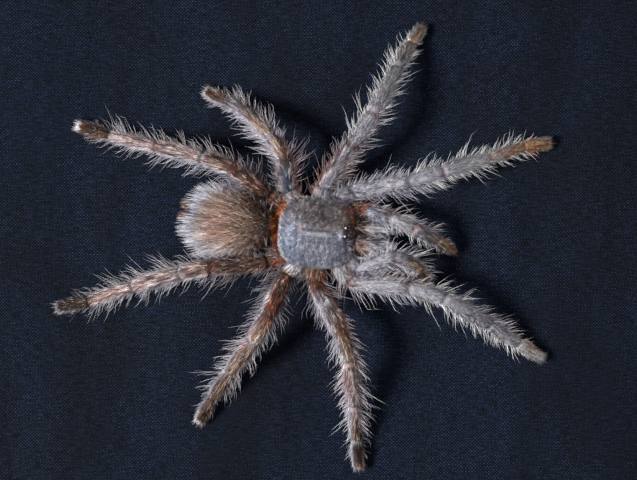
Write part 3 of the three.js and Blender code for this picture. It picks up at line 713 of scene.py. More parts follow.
class Coat:
    """One piece of hair: groups of tapered three-sided strands, joined into one mesh."""

    def __init__(self, name, slot):
        self.name, self.slot = name, slot
        self.rng = draw_for(name)
        self.groups = []

    def grow(
        self, roots, normal, flow, length, lift, tint, radius, steps, sway=14, clump=0, tip=None, rise=None
    ):
        """Adds strands. length is a range, or one per strand. lift is three angles from the skin, at the
        root, half way and at the tip, each a number or one per strand, or with rise, which is a range of
        angles, three shares of an angle in that range. sway is how far a strand's direction strays within
        the skin. clump is how far the tips of each three neighbours are drawn together. tint is the root's
        colour, and tip the tip's, or a little lighter than the root."""
        n, rng = len(roots), self.rng
        if rise:
            lift = np.multiply.outer(lift, rng.uniform(*rise, n))
        if isinstance(length, tuple):
            length = rng.uniform(*length, n)
        turn = np.radians(rng.normal(0, sway, n))[:, None]
        side = np.cross(normal, flow)
        flow = np.cos(turn) * flow + np.sin(turn) * side
        side = np.cross(normal, flow)
        curl = np.radians(rng.normal(0, sway * 0.9, n))
        along = (np.arange(steps) + 0.5) / steps
        bend = 1 - 3 * along + 2 * along**2, 4 * along - 4 * along**2, 2 * along**2 - along
        lift = [np.broadcast_to(angle, n) for angle in lift]
        angle = np.radians(sum(np.multiply.outer(a, b) for a, b in zip(lift, bend)))
        heading = (
            np.cos(angle)[..., None] * flow[:, None]
            + np.sin(angle)[..., None] * normal[:, None]
            + np.multiply.outer(curl, along)[..., None] * side[:, None]
        )
        run = np.cumsum(unit(heading), axis=1) * (length / steps)[:, None, None]
        start = roots - normal * np.minimum(ROOT_DEPTH, 0.05 * length)[:, None]
        points = np.concatenate([start[:, None], start[:, None] + run], axis=1)
        if clump:
            gathered = points[: n // 3 * 3].reshape(-1, 3, steps + 1, 3)
            pull = gathered[:, :, -1:].mean(1, keepdims=True) - gathered[:, :, -1:]
            t = np.linspace(0, 1, steps + 1)[None, None, :, None]
            points[: n // 3 * 3] = (gathered + clump * t**1.7 * pull).reshape(-1, steps + 1, 3)
        lowest = cloth_height(points[..., 0], points[..., 1]) + CLEARANCE
        points[..., 2] = np.maximum(points[..., 2], lowest)
        tip = tint * 1.15 if tip is None else tip
        self.groups.append((points, side, radius, tint, clamp(tip)))

    def make(self, material):
        """Joins the strands into one mesh. Each has its own cell of the map, in a random order."""
        total = sum(len(g[0]) for g in self.groups)
        cells = math.ceil(math.sqrt(total))
        order = self.rng.permutation(total)
        made, done, base = [], 0, 0
        for points, side, radius, tint, tip in self.groups:
            n, steps = len(points), points.shape[1] - 1
            corners, sizes, uv = strand_pattern(steps)
            tangent = unit(np.gradient(points, axis=1))
            x = flattened(side[:, None], tangent)
            y = np.cross(tangent, x)
            t = np.linspace(0, 1, steps + 1)
            thick = (radius * (1 - TAPER * t**2))[:, None, None]
            turn = self.rng.uniform(0, 2 * math.pi, n)[:, None] + np.arange(3) * 2 * math.pi / 3
            c, s = np.cos(turn)[:, None, :, None], np.sin(turn)[:, None, :, None]
            rim = points[:, :, None] + thick * (c * x[:, :, None] + s * y[:, :, None])
            spots = np.concatenate([rim[:, :steps].reshape(n, -1, 3), points[:, -1:]], axis=1)
            share = np.append(np.repeat(t[:steps], 3), 1.0)[None, :, None]
            colours = tint[:, None] * (1 - share) + tip[:, None] * share
            index = corners + (base + np.arange(n) * (3 * steps + 1))[:, None]
            cell = order[done : done + n]
            corner = np.stack([cell % cells, cell // cells], -1)[:, None]
            made.append((
                spots.reshape(-1, 3),
                index.ravel(),
                np.tile(sizes, n),
                colours.reshape(-1, 3),
                ((corner + MAP_MARGIN + (1 - 2 * MAP_MARGIN) * uv) / cells).reshape(-1, 2),
            ))
            base += n * (3 * steps + 1)
            done += n
        points, corners, sizes, tint, uv = (np.concatenate(a) for a in zip(*made))
        return show(self.name, mesh_from(self.name, points, corners, sizes, tint, uv), material)


def strand_pattern(steps):
    """The corners, face sizes and map places of one strand of three sides."""
    corners, sizes, uv = [], [], []
    for k in range(steps):
        for j in range(3):
            a, b = 3 * k + j, 3 * k + (j + 1) % 3
            if k < steps - 1:
                corners += [a, b, b + 3, a + 3]
                sizes.append(4)
                uv += [(j, k), (j + 1, k), (j + 1, k + 1), (j, k + 1)]
            else:
                corners += [a, b, 3 * steps]
                sizes.append(3)
                uv += [(j, k), (j + 1, k), (j + 0.5, k + 1)]
    return np.array(corners), np.array(sizes), np.array(uv, float) / (3, steps)


def varied(tint, rng, spread=0.3, pale=0.15, dark=0.12):
    """Strand colours that differ from one another, some nearly white and some dark."""
    n = len(tint)
    made = tint * np.exp(rng.normal(0, spread, n))[:, None]
    kind = rng.random(n)
    made = np.where((kind < pale)[:, None], 0.3 * made + 0.7 * linear(WHITE), made)
    return np.where((kind > 1 - dark)[:, None], made * 0.4, made)


# ---- Limbs

LINE_STEP = 0.1  # from one point of a centreline to the next
ROUNDING, ROUNDING_STEPS = 0.9, 24  # how softly a centreline turns at its joints, and over how many points
SKIN_STEP, SKIN_SIDES = 0.4, 20
SKIN_TONE = 0.42  # a limb's skin beside its hair
WAIST_DEPTH, WAIST_REACH = 0.2, 0.55  # how the skin is drawn in at a joint
TIP_REACH = 1.3  # how far a limb's rounded end reaches

# How pale a limb's side hairs are, and how much paler their tips, by joint number.
PALENESS = [(0, 0.1), (1, 0.3), (1.7, 0.6), (3.8, 0.7), (4.15, 0.2), (4.8, 0.2), (5, 0.7)]
TIP_PALENESS = [(0, 0.5), (1, 0.8), (1.7, 1), (3.8, 1), (4.15, 0.5), (5, 0.6)]

KINDS = {
    "leg": {
        "radii": LEG_RADII,
        "parts": ("femur", "patella", "tibia", "foot"),
        "coat": {"pile": 7000, "streaks": 6400, "fringe": 800, "long": 450, "tuft_from": 4.05},
    },
    "palp": {
        "radii": PALP_RADII,
        "parts": ("femur", "tibia", "tarsus"),
        "coat": {"pile": 3800, "streaks": 2200, "fringe": 480, "tuft_from": 3.1},
    },
}


class Limb:
    """A limb's centreline and thickness, and the places and colours on its skin."""

    def __init__(self, facts, radii):
        self.facts = facts
        joints = np.array(facts["joints"], float) + (0, 0, CLOTH_TOP)
        self.numbers = np.arange(len(joints)) - 1.0
        spans = np.linalg.norm(np.diff(joints, axis=0), axis=1)
        self.marks = np.concatenate([[0], np.cumsum(spans)])
        self.length = self.marks[-1]
        self.radius_places = np.add.outer(self.numbers[:-1], (0.02, 0.45, 0.98)).ravel()
        self.radii = np.ravel(radii)
        self.s = np.linspace(0, self.length, round(self.length / LINE_STEP) + 1)
        self.line = self.smoothed(interpolated(self.s, self.marks, joints))
        self.tangent = unit(np.gradient(self.line, axis=0))

    def smoothed(self, line):
        """The straight spans between joints, with their corners rounded."""
        steps = np.arange(1, ROUNDING_STEPS + 1)[:, None]
        before = line[0] - (line[1] - line[0]) * steps[::-1]
        after = line[-1] + (line[-1] - line[-2]) * steps
        padded = np.concatenate([before, line, after])
        reach = np.arange(-ROUNDING_STEPS, ROUNDING_STEPS + 1) * LINE_STEP
        weight = np.exp(-0.5 * (reach / ROUNDING) ** 2)
        return np.stack([np.convolve(padded[:, i], weight / weight.sum(), "valid") for i in range(3)], -1)

    def joint_number(self, s):
        return np.interp(s, self.marks, self.numbers)

    def mark(self, number):
        """How far along the limb a joint number is."""
        return np.interp(number, self.numbers, self.marks)

    def radius_at(self, s):
        """The skin's radius, drawn in at each joint and rounded off at the tip."""
        radius = np.interp(self.joint_number(s), self.radius_places, self.radii)
        for mark in self.marks[1:-1]:
            radius = radius * (1 - WAIST_DEPTH * hump(s, mark, WAIST_REACH))
        left = clamp((self.length - s) / TIP_REACH)
        return radius * np.sqrt(clamp(1 - (1 - left) ** 2))

    def on_skin(self, s, turn):
        """Place, normal and forward direction at a distance along and a turn from the top."""
        forward = unit(interpolated(s, self.s, self.tangent))
        up = flattened(UP, forward)
        normal = np.cos(turn)[..., None] * up + np.sin(turn)[..., None] * np.cross(forward, up)
        return interpolated(s, self.s, self.line) + normal * self.radius_at(s)[..., None], normal, forward

    def colour(self, s, turn):
        q, right = self.joint_number(s), np.sin(turn)
        made = along_stops(self.facts["top"], q)
        made = blend(made, along_stops(self.facts["right"], q), clamp(right) ** 3)
        made = blend(made, along_stops(self.facts["left"], q), clamp(-right) ** 3)
        for number, ring in self.facts["rings"]:
            near = hump(s, self.mark(number), 0.7)
            made = painted(made, (ring, 0.6 * near * clamp(0.4 + np.cos(turn))))
        return made

    def gain(self, s):
        return np.interp(self.joint_number(s), *zip(*self.facts["gain"]))[..., None]

    def skin(self, name, rng):
        """A slightly creased tube along the limb, with both ends closed."""
        s = np.linspace(0, self.length - 0.02, round(self.length / SKIN_STEP) + 1)
        s, turn = np.meshgrid(s, np.arange(SKIN_SIDES) * 2 * math.pi / SKIN_SIDES, indexing="ij")
        place, normal, _ = self.on_skin(s, turn)
        crease = 0.05 * ripple(turn, rng, slowest=2, fastest=5)
        crease = crease * (1 + 0.5 * ripple(s, rng, slowest=0.2, fastest=0.8))
        place = place + normal * np.where(s < self.length - 2, crease, 0)[..., None]
        tint = self.colour(s, turn) * np.minimum(self.gain(s), 1.6) * SKIN_TONE
        points = np.concatenate([place.reshape(-1, 3), [place[0].mean(0), place[-1].mean(0)]])
        tint = np.concatenate([tint.reshape(-1, 3), tint[0, :1], tint[-1, :1]])
        return mesh_from(name, points, *tube_faces(*s.shape), tint)


def limb_coat(coat, limb, pile, streaks, fringe, long, tuft_from):
    """The hair of one limb: dark pile lying along it, lighter hairs over it that part into streaks, a
    raised fringe and long curved hairs at its sides, and the brush of its last segment."""
    rng, grain, length = coat.rng, Grain(coat.name), limb.length

    def spots(count, near=0.3, far=length - 0.3, level=None):
        s = rng.uniform(near, far, count)
        if level is None:
            turn = rng.uniform(-math.pi, math.pi, count)
        else:
            turn = rng.choice([-1, 1], count) * rng.normal(*level, count)
        return s, turn, *limb.on_skin(s, turn), grain.at(turn / math.pi * 14, s / 2.6)

    def paleness(s, stops=PALENESS):
        return np.interp(limb.joint_number(s), *zip(*stops))

    def paled(s, turn, share):
        side = np.clip(np.abs(turn) * 1.4 - 0.6, 0.1, 1.2)
        return painted(limb.colour(s, turn), (PALE, share * paleness(s) * side)) * limb.gain(s)

    def trimmed(s, size):
        """Hair is short where it reaches a joint."""
        ahead = np.min([np.where(m > s, m - s, 99) for m in limb.marks[1:-1]], axis=0)
        return size * np.clip(ahead / size, 0.35, 1)

    s, turn, place, normal, forward, streak = spots(pile)
    bright = (0.34 + 0.2 * paleness(s)) * np.exp(0.75 * streak)
    tint = varied(limb.colour(s, turn) * limb.gain(s) * bright[:, None], rng, 0.3, 0.02, 0.2)
    size = trimmed(s, rng.uniform(0.9, 1.7, pile))
    coat.grow(place, normal, forward, size, (16, 10, 6), tint, 0.05, 1, sway=10)

    s, turn, place, normal, forward, streak = spots(streaks)
    tint = paled(s, turn, 0.4) * 1.42 * np.exp(1.05 * streak)[:, None]
    tint = painted(tint, (WHITE, (0.1 + 0.8 * paleness(s)) * (streak > 1.3)))
    tint = varied(tint, rng, 0.4, 0.12 * paleness(s), 0.2)
    size = trimmed(s, rng.uniform(1.4, 2.8, streaks))
    coat.grow(place, normal, forward, size, (1, 1, 1), tint, 0.056, 1, sway=9, rise=(6, 28))

    s, turn, place, normal, forward, _ = spots(fringe, level=(1.65, 0.4))
    tint = varied(paled(s, turn, 0.6) * 0.9, rng, 0.4, 0.06, 0.2)
    tip = painted(tint, (PALE, rng.uniform(0, 0.9, fringe) * paleness(s, TIP_PALENESS), 1.1))
    coat.grow(
        place, normal, forward, (1.0, 2.3), (1, 1, 0.5), tint, 0.048, 2, sway=11, tip=tip, rise=(20, 50)
    )

    s, turn, place, normal, forward, _ = spots(long, 1.2, length * 0.94, (1.6, 0.36))
    tint = varied(paled(s, turn, 0.6), rng, 0.25, 0.15, 0.1)
    tip = painted(tint, (WHITE, rng.uniform(0.4, 1.0, long) * paleness(s, TIP_PALENESS), 1.3))
    rise = rng.uniform(36, 74, long)
    size = rng.gamma(9, 0.46, long).clip(2.2, 7.5) * np.clip((length - s) / 12, 0.5, 1)
    size *= np.clip(1 + 0.3 * grain.at(np.sign(turn) * 5, s / 1.6), 0.45, 1.5)
    hooked = rng.random(long) < 0.35
    last = rise * np.where(hooked, rng.uniform(-0.7, 0.2, long), rng.uniform(0.5, 1.1, long))
    coat.grow(place, normal, forward, size, (rise, rise * 0.8, last), tint, 0.05, 3, sway=11, tip=tip)

    for count, near, size, lift in (
        (pile // 5, limb.mark(tuft_from), (0.8, 1.3), (40, 32, 24)),
        (pile // 14, length - 0.7, (0.5, 1.1), (25, 5, 0)),
    ):
        s, turn, place, normal, forward, streak = spots(count, near, length - 0.03)
        tint = limb.colour(s, turn) * limb.gain(s) * np.exp(0.5 * streak)[:, None]
        coat.grow(place, normal, forward, size, lift, varied(tint, rng, 0.3, 0.02, 0.15), 0.05, 1, sway=18)


def make_limbs(skin_finish, hair):
    for full_name, facts in LIMBS.items():
        kind, name = full_name.split("_", 1)
        build = KINDS[kind]
        limb = Limb(facts, build["radii"])
        nodes = [f"{full_name}_{part}" for part in build["parts"]]
        skin = limb.skin(f"{full_name}_skin", draw_for(name))
        show(f"{full_name}_skin", skin, skin_finish, nodes)
        coat = Coat(f"{full_name}_hair", "leg_cuticle")
        limb_coat(coat, limb, **{**build["coat"], **facts.get("coat", {})})
        coat.make(hair)


# ---- Body


def on_carapace(points):
    """How far points are forward and left of the carapace's middle, and how far out: 1 at its rim."""
    ahead, left = body_axes(points, CARAPACE_CENTRE)
    return ahead, left, rounded_size(ahead / CARAPACE_HALF[0], left / CARAPACE_HALF[1])


def carapace_colour(points):
    """Brown grey on its left half and blue grey on its right, with pale lines along the middle and the
    edge, and rust at its front left corner."""
    ahead, left, out = on_carapace(points)
    x, y = ahead / CARAPACE_HALF[0], left / CARAPACE_HALF[1]
    return painted(
        linear((166, 168, 188)),
        ((150, 142, 144), y * 5 - 0.1),
        ((122, 114, 116), 0.8 * hump(x, 0.1, 0.4) * hump(y, 0.45, 0.25)),
        ((136, 149, 176), clamp(-0.1 - x * 1.6) * clamp(0.8 - y)),
        (CREAM, 0.4 * hump(x, 0.3, 0.4) * hump(y, 0.17, 0.09)),
        (WHITE, 0.9 * hump(x, 0.05, 0.32, 4) * hump(y, -0.04, 0.045), 1.2),
        (BLACK, 0.7 * hump(x, 0, 0.42, 4) * hump(y, 0.055, 0.03)),
        (PINK, 0.6 * hump(x, -0.42, 0.1) * hump(y, 0.1, 0.1)),
        ((172, 146, 136), np.clip(x * 2.5 - 1.3, 0, 0.8) * clamp(y * 4 + 0.2)),
        (RUST, np.clip(x * 4 - 2.4, 0, 0.8) * clamp(y * 4 - 1.6)),
        (PALE, 0.75 * clamp((out - 0.87) * 10) * clamp(1.9 - 2.2 * x)),
        (BLACK, 0.97 * hump(ahead, 8.75, 1, 4) * hump(left, 0, 2, 4)),
    )


def squared(points):
    """The carapace's points, with its two front corners drawn out a little."""
    ahead, left, round_size = on_carapace(points)
    square_size = rounded_size(ahead / CARAPACE_HALF[0], left / CARAPACE_HALF[1], 5)
    out = (round_size / np.maximum(square_size, 1e-6)) ** 0.6
    out = 1 + (out - 1) * clamp(square_size * 2 - 1) * clamp(ahead / 4 + 0.5)
    return CARAPACE_CENTRE + (points - CARAPACE_CENTRE) * np.stack([out, out, np.ones_like(out)], -1)


def grooved(points, normals):
    """The carapace's points, with its pit and the grooves that run out from it."""
    ahead, left = body_axes(points, FOVEA)
    far = np.hypot(ahead, left)
    pit = -0.5 * hump(ahead, 0, 0.8) * hump(left, 0, 1.8)
    grooves = -0.12 * clamp(np.cos(np.arctan2(left, ahead) * 8)) ** 2 * clamp(far / 3) * clamp((9 - far) / 3)
    return squared(points + normals * ((pit + grooves) * clamp(normals[:, 2]))[:, None])


def off_eyes(points):
    """Nearly 0 at the eyes and 1 elsewhere."""
    ahead, left = body_axes(points, CARAPACE_CENTRE)
    return 1 - 0.99 * hump(ahead, 8.75, 1.35, 6) * hump(left, 0, 2.3, 6)


# Where the carapace's coats grow, as weights for scatter.


def at_waist(p, n):
    ahead, left, out = on_carapace(p)
    wall = clamp((out - 0.93) * 12) * clamp(0.75 - n[:, 2])
    return wall * clamp((-ahead - 7.6) / 1.5) * clamp((left + 9) / 4)


def at_front(p, n):
    return clamp((on_carapace(p)[0] - 8.4) / 1.2) * clamp(0.8 - n[:, 2]) * off_eyes(p)


def at_skirt(p, n):
    return clamp((on_carapace(p)[2] - 0.9) * 10) * clamp(n[:, 2] + 0.6) * off_eyes(p)


def at_edge(p, n):
    ahead, left, out = on_carapace(p)
    return hump(out, 0.97, 0.03) * clamp(-left / 3) * clamp((8.5 - ahead) / 2)


def make_carapace(finish, hair):
    """The carapace's skin, its short felt, rust tufts at the waist, a brush in front, pale hairs round its
    side and a white line along its right edge."""
    mesh = skin_of("carapace", 0.42, finish, grooved, lambda p: carapace_colour(p) * 0.5, 4)
    coat, grain = Coat("carapace_hair", "carapace"), Grain("carapace")
    rng = coat.rng

    place, normal = scatter(mesh, 13000, rng, lambda p, n: upward(0.35, 0.04)(p, n) * off_eyes(p))
    x, y, _ = place.T
    away = place - FOVEA
    lower = clamp(0.5 - on_carapace(place)[1] / 2)
    pebbles = grain.at(x / 0.5, y / 0.5)
    lines = grain.at(x / 0.32 + 9, y / 1.5 + 20)
    wide = grain.at(x / 1.6 + 30, y / 1.6)
    rays = grain.at(np.arctan2(away[:, 1], away[:, 0]) * 14 + 40, np.hypot(away[:, 0], away[:, 1]) / 1.6)
    pattern = pebbles * (0.8 - 0.1 * lower) + lines * 0.7 * lower + 0.8 * rays * (1 - lower) + 0.25 * wide
    flow = flattened(away * (0.5, 1, 1) + rng.normal(0, 1.2, place.shape), normal)
    tint = carapace_colour(place) * 0.95 * np.exp(0.75 * pattern)[:, None]
    tint = varied(tint, rng, 0.25, 0.08, 0.12)
    coat.grow(place, normal, flow, (0.4, 0.85), (30, 20, 14), tint, 0.045, 1, sway=22)

    count = 900
    place, normal = scatter(mesh, count, rng, at_waist)
    left = on_carapace(place)[1]
    orange = rng.random(count) * np.clip(0.6 + left / 10, 0.1, 1)
    tint = painted(linear(RUST), (ORANGE, orange), (PINK, np.clip(-0.4 - left / 8, 0, 0.6)))
    # More than half of the strands are painted near black: painted shade that stands in for the shadows
    # between the rust strands.
    tint = tint * np.where(rng.random(count) < 0.55 - left / 40, 0.12, 1)[:, None]
    bold = np.exp(0.7 * grain.at(place[:, 1] / 0.7, place[:, 2]) + rng.normal(0, 0.5, count))
    tint = tint * np.clip(bold * 1.4, 0, 1.9)[:, None]
    back = flattened((-1, 0.07, -0.6), normal)
    coat.grow(place, normal, back, (0.9, 2.4), (1, 1, 0.6), tint, 0.065, 3, sway=34, rise=(20, 75))

    place, normal = scatter(mesh, count, rng, at_front)
    left = on_carapace(place)[1]
    orange = rng.random(count) ** 2 * 0.8 * clamp(left / 3)
    tint = painted(linear(BROWN), (ORANGE, orange), (LILAC, clamp(0.3 - left / 3) * rng.random(count)))
    forward = flattened((1, -0.07, 0.3), normal)
    rise = rng.uniform(20, 70, count)
    tint = varied(tint, rng, 0.4, 0.1, 0.25)
    coat.grow(place, normal, forward, (0.8, 2.0), (rise, rise, rise * 0.6), tint, 0.042, 2, sway=30)

    count = 1500
    place, normal = scatter(mesh, count, rng, at_skirt)
    ahead, left, _ = on_carapace(place)
    rust = clamp((ahead - 6) / 2) * clamp((left + 1.5) / 4)
    rust = np.maximum(rust, clamp((-ahead - 7.8) / 1.2) * 0.8)
    tint = painted(linear(PALE), (RUST, rust * rng.uniform(0.5, 1.2, count)))
    tint = varied(tint * np.where((left > 4) & (ahead < 6), 1.5, 1)[:, None], rng, 0.3, 0.1, 0.08)
    outward = (place - CARAPACE_CENTRE) * (1, 1, 0)
    rise = rng.uniform(5, 40, count)
    size = rng.uniform(0.9, 2.2, count) * np.where(left > 0, 1.15, 0.7)
    lift = rise, rise * 0.6, rise * 0.2
    coat.grow(place, normal, flattened(outward, normal), size, lift, tint, 0.045, 2, sway=14, clump=0.15)

    count = 600
    place, normal = scatter(mesh, count, rng, at_edge)
    tint = varied(np.tile(linear(WHITE, 1.2), (count, 1)), rng, 0.2, 0.2, 0.05)
    round_edge = np.cross(UP, flattened((place - CARAPACE_CENTRE) * (1, 1, 0), UP))
    coat.grow(place, normal, flattened(round_edge, normal), (0.8, 1.4), (12,) * 3, tint, 0.055, 1, sway=10)
    coat.make(hair)


# Each eye's place forward and left of the mound's middle, and its radius.
DARK_EYES = [
    (0.95, 0.62, 0.52), (0.95, -0.62, 0.52), (0.75, 1.75, 0.48), (0.75, -1.75, 0.48),
    (-0.5, 1.75, 0.4), (-0.5, -1.75, 0.4),
]
# The two pearly eyes are pale partly as a painted highlight, standing in for the glints of the lamp in them.
PEARLY_GLINT_EYES = [(0.05, 1.05, 0.32), (0.05, -1.05, 0.32)]


def ball(centre, radius, across=16, down=10):
    """The points, corners and face sizes of a small ball."""
    dips, turns = np.arange(down - 1, 0, -1) * math.pi / down, np.arange(across) * 2 * math.pi / across
    dip, turn = np.meshgrid(dips, turns, indexing="ij")
    rings = np.stack([np.sin(dip) * np.cos(turn), np.sin(dip) * np.sin(turn), np.cos(dip)], -1)
    points = np.concatenate([rings.reshape(-1, 3), [[0, 0, -1], [0, 0, 1]]]) * radius + centre
    return points, *tube_faces(*dip.shape)


def make_eyes():
    """Eight eyes in two rows on the mound, six of them black and glossy and two pearly white, whose pale
    colour is also a painted highlight for the lamp's glints.
    """
    black = eye_finish("eye", 1500, shade(BLACK, 0.7), shade((52, 34, 22)), (0.05, 0.14))
    pearl_glint = eye_finish("eye_pearly", 1200, shade((150, 154, 166)), shade((226, 228, 238)), (0.1, 0.2))
    crown = bpy.data.objects["carapace_skin"]
    c, s = math.cos(BODY_TURN), math.sin(BODY_TURN)
    above, down = 0.05, Vector((0, 0, -1))
    for name, finish, spots in (("eyes_dark", black, DARK_EYES), ("eyes_pearly", pearl_glint, PEARLY_GLINT_EYES)):
        balls = []
        for ahead, left, radius in spots:
            x = EYE_MOUND[0] + ahead * c - left * s
            y = EYE_MOUND[1] + ahead * s + left * c
            _, spot, normal, _ = crown.ray_cast(Vector((x * MM, y * MM, above)), down)
            balls.append(ball(np.array(spot) / MM + np.array(normal) * radius * 0.65, radius))
        points = np.concatenate([b[0] for b in balls])
        corners = np.concatenate([b[1] + i * len(b[0]) for i, b in enumerate(balls)])
        sizes = np.concatenate([b[2] for b in balls])
        show(name, mesh_from(name, points, corners, sizes), finish)


def abdomen_colour(points):
    """Dark olive near the waist, reddish tan in the middle, and nearly white round the rim and behind."""
    ahead, left = body_axes(points, ABDOMEN_CENTRE)
    x, y = ahead / ABDOMEN_HALF[0], left / ABDOMEN_HALF[1]
    low = (ABDOMEN_CENTRE[2] - points[:, 2]) / ABDOMEN_HALF[2]
    rim = np.hypot(clamp(-x - 0.05) * 1.12, y * np.where(y > 0, 0.84, 1))
    return painted(
        linear((144, 112, 99)),
        ((112, 88, 68), (x + 0.12) * 1.9),
        ((98, 76, 62), (x - 0.4) * 2.4),
        ((166, 154, 150), 0.85 * clamp((rim - 0.48) * 2.6) * clamp(1.1 - x * 1.6)),
        ((172, 184, 214), clamp((rim - 0.74) * 4) * clamp(0.1 - x * 1.8) * np.clip(0.7 + y, 0.2, 1)),
        (GREY, np.clip(low * 1.5, 0, 0.8) * clamp(0.8 - x * 1.5)),
    )


def over_spinnerets(points):
    """How near points are to the hollow behind the abdomen, 0 to 1."""
    return hump(points[:, 1], 10.2, 2.6) * clamp((-25.5 - points[:, 0]) / 4)


def folded(points, normals):
    """The abdomen's points, with shallow folds and the hollow over the spinnerets."""
    rng = draw_for("abdomen skin")
    ahead, left = body_axes(points, ABDOMEN_CENTRE)
    folds = 0.14 * ripple(left * 0.8, rng, fastest=3) + 0.1 * ripple(ahead * 0.5, rng, fastest=3)
    points = points + normals * (folds * clamp((-6 - points[:, 0]) / 4))[:, None]
    points[:, 0] += 0.9 * over_spinnerets(points)
    return points


def at_rim(p, n):
    return np.clip(0.4 - (p - ABDOMEN_CENTRE)[:, 0] / 12, 0.15, 1) * hump(n[:, 2], 0.15, 0.35)


def at_abdomen_front(p, n):
    return clamp((p - ABDOMEN_CENTRE)[:, 0] / 5) * clamp(1.15 - np.abs(n[:, 2]))


def on_pedicel(p, n):
    return clamp((p[:, 0] + 9.4) / 1.2) * clamp(n[:, 2] + 0.8)


def make_abdomen(finish, hair):
    """The abdomen's skin and its coat, swept back from the waist, longest behind, with rust hairs on the
    pedicel."""
    mesh = skin_of("abdomen", 0.6, finish, folded, lambda p: abdomen_colour(p) * 0.3)
    coat, grain = Coat("abdomen_hair", "abdomen"), Grain("abdomen")
    rng = coat.rng
    pole = ABDOMEN_CENTRE + (12.65, -1.0, 1.0)

    def field(count, likely):
        """Places behind the pedicel, the way the hair lies there, and streaks that run back."""
        place, normal = scatter(
            mesh, count, rng, lambda p, n: likely(p, n) * (p[:, 0] < -8.5) * (1 - 0.8 * over_spinnerets(p))
        )
        flow = flattened(place - pole + rng.normal(0, 0.5, place.shape), normal)
        ahead, left = body_axes(place, ABDOMEN_CENTRE)
        x, y = ahead / ABDOMEN_HALF[0], left / ABDOMEN_HALF[1]
        away = pole - place
        turn, far = np.arctan2(away[:, 1], away[:, 0]), np.linalg.norm(away, axis=1)
        streak = grain.at(turn * 42, far / 2.6 + 7 * place[:, 2] / 20) * np.clip(1.05 - x, 0.3, 1)
        return place, normal, flow, x, y, streak

    place, normal, flow, _, _, streak = field(6500, upward(0.5, 0.1))
    tint = varied(abdomen_colour(place) * 0.42 * np.exp(0.5 * streak)[:, None], rng, 0.3, 0.02, 0.2)
    coat.grow(place, normal, flow, (0.9, 1.6), (26, 20, 14), tint, 0.05, 1, sway=14)

    count = 9000
    place, normal, flow, x, y, streak = field(count, upward(0.6, 0.12))
    tint = abdomen_colour(place) * 0.92 * np.exp(0.65 * streak)[:, None]
    tint = painted(tint, (CREAM, 0.4 * (streak > 1.2) * clamp(0.9 - x)))
    tint = varied(tint, rng, 0.45, 0.05, 0.15)
    outer = clamp(np.hypot(clamp(-x), y))
    length = rng.uniform(1.4, 2.4, count) * (1 + 0.2 * outer) * np.clip(1.4 - x, 0.5, 1)
    rise = 14 + 24 * outer * rng.random(count)
    coat.grow(place, normal, flow, length, (rise * 0.75,) * 3, tint, 0.055, 1, sway=8)

    for count, size, rise, radius in ((850, (1.2, 2.2), (25, 60), 0.05), (640, (2.4, 4.8), (38, 80), 0.058)):
        place, normal, flow, x, *_ = field(count, at_rim)
        tint = varied(painted(abdomen_colour(place), (PALE, np.clip(0.5 - x, 0.3, 1))), rng, 0.5, 0.25, 0.2)
        back = clamp(-x)[:, None]
        flow = unit(flow * (1.2 - back) + np.array([-1.0, 0, 0.12]) * (0.3 + back))
        rise = rng.uniform(*rise, count) * (1 - 0.45 * back[:, 0])
        coat.grow(place, normal, flow, size, (rise, rise * 0.85, rise * 0.65), tint, radius, 3, sway=9)

    count = 1100
    place, normal, flow, x, *_ = field(count, upward(0, 0.02))
    tint = painted(abdomen_colour(place) * 1.3, (CREAM, rng.uniform(0.1, 0.5, count)))
    tint = varied(tint, rng, 0.3, 0.1, 0.1)
    length = rng.uniform(2.0, 3.6, count) * np.clip(1.3 - x, 0.4, 1)
    coat.grow(place, normal, flow, length, (22, 14, 4), tint, 0.045, 2, sway=13)

    count = 1600
    place, normal, flow, *_ = field(count, at_abdomen_front)
    tint = varied(np.tile(linear(BROWN), (count, 1)), rng, 0.4, 0.03, 0.3)
    coat.grow(place, normal, flow, (1.6, 3.0), (1, 0.8, 0.6), tint, 0.05, 2, sway=14, rise=(20, 60))

    count = 1000
    place, normal = scatter(mesh, count, rng, on_pedicel)
    tint = painted(linear(RUST), (ORANGE, rng.random(count) ** 2))
    # Most strands are painted near black: painted shade that stands in for the shadows between the rust
    # strands.
    tint = varied(tint * np.where(rng.random(count) < 0.65, 0.12, 1.3)[:, None], rng, 0.45, 0.02, 0.2)
    outward = flattened(normal * (0, 1, 1) + rng.normal(0, 0.5, normal.shape), normal)
    coat.grow(place, normal, outward, (1.4, 3.2), (60, 70, 70), tint, 0.06, 2, sway=25)
    coat.make(hair)


RUST_SPOTS = [  # where they are, and how far they reach
    (-7.0, 9.5, 3.4), (-6.5, 0.5, 2.8), (14.5, 10.6, 2.4), (12.4, -7.2, 0.8), (-8.0, 13.0, 2.4),
    (3.0, -6.5, 1.8),
]


def near_rust(p):
    """How near points are to each of the rust spots, 0 to 1."""
    return [np.exp(-((p[:, 0] - x) ** 2 + (p[:, 1] - y) ** 2) / reach**2) for x, y, reach in RUST_SPOTS]


def coxa_colour(p):
    """Grey, paler at the front legs, with the rust spots."""
    left_front = clamp((p[:, 1] - 9) / 2) * clamp((p[:, 0] + 3) / 3)
    right_front = clamp((-4 - p[:, 1]) / 1.5) * clamp((p[:, 0] - 8.5) / 1.5)
    spots = ((RUST, near) for near in near_rust(p))
    return painted(linear(GREY), (PALE, left_front, 1.2), ((226, 208, 216), right_front, 1.3), *spots)


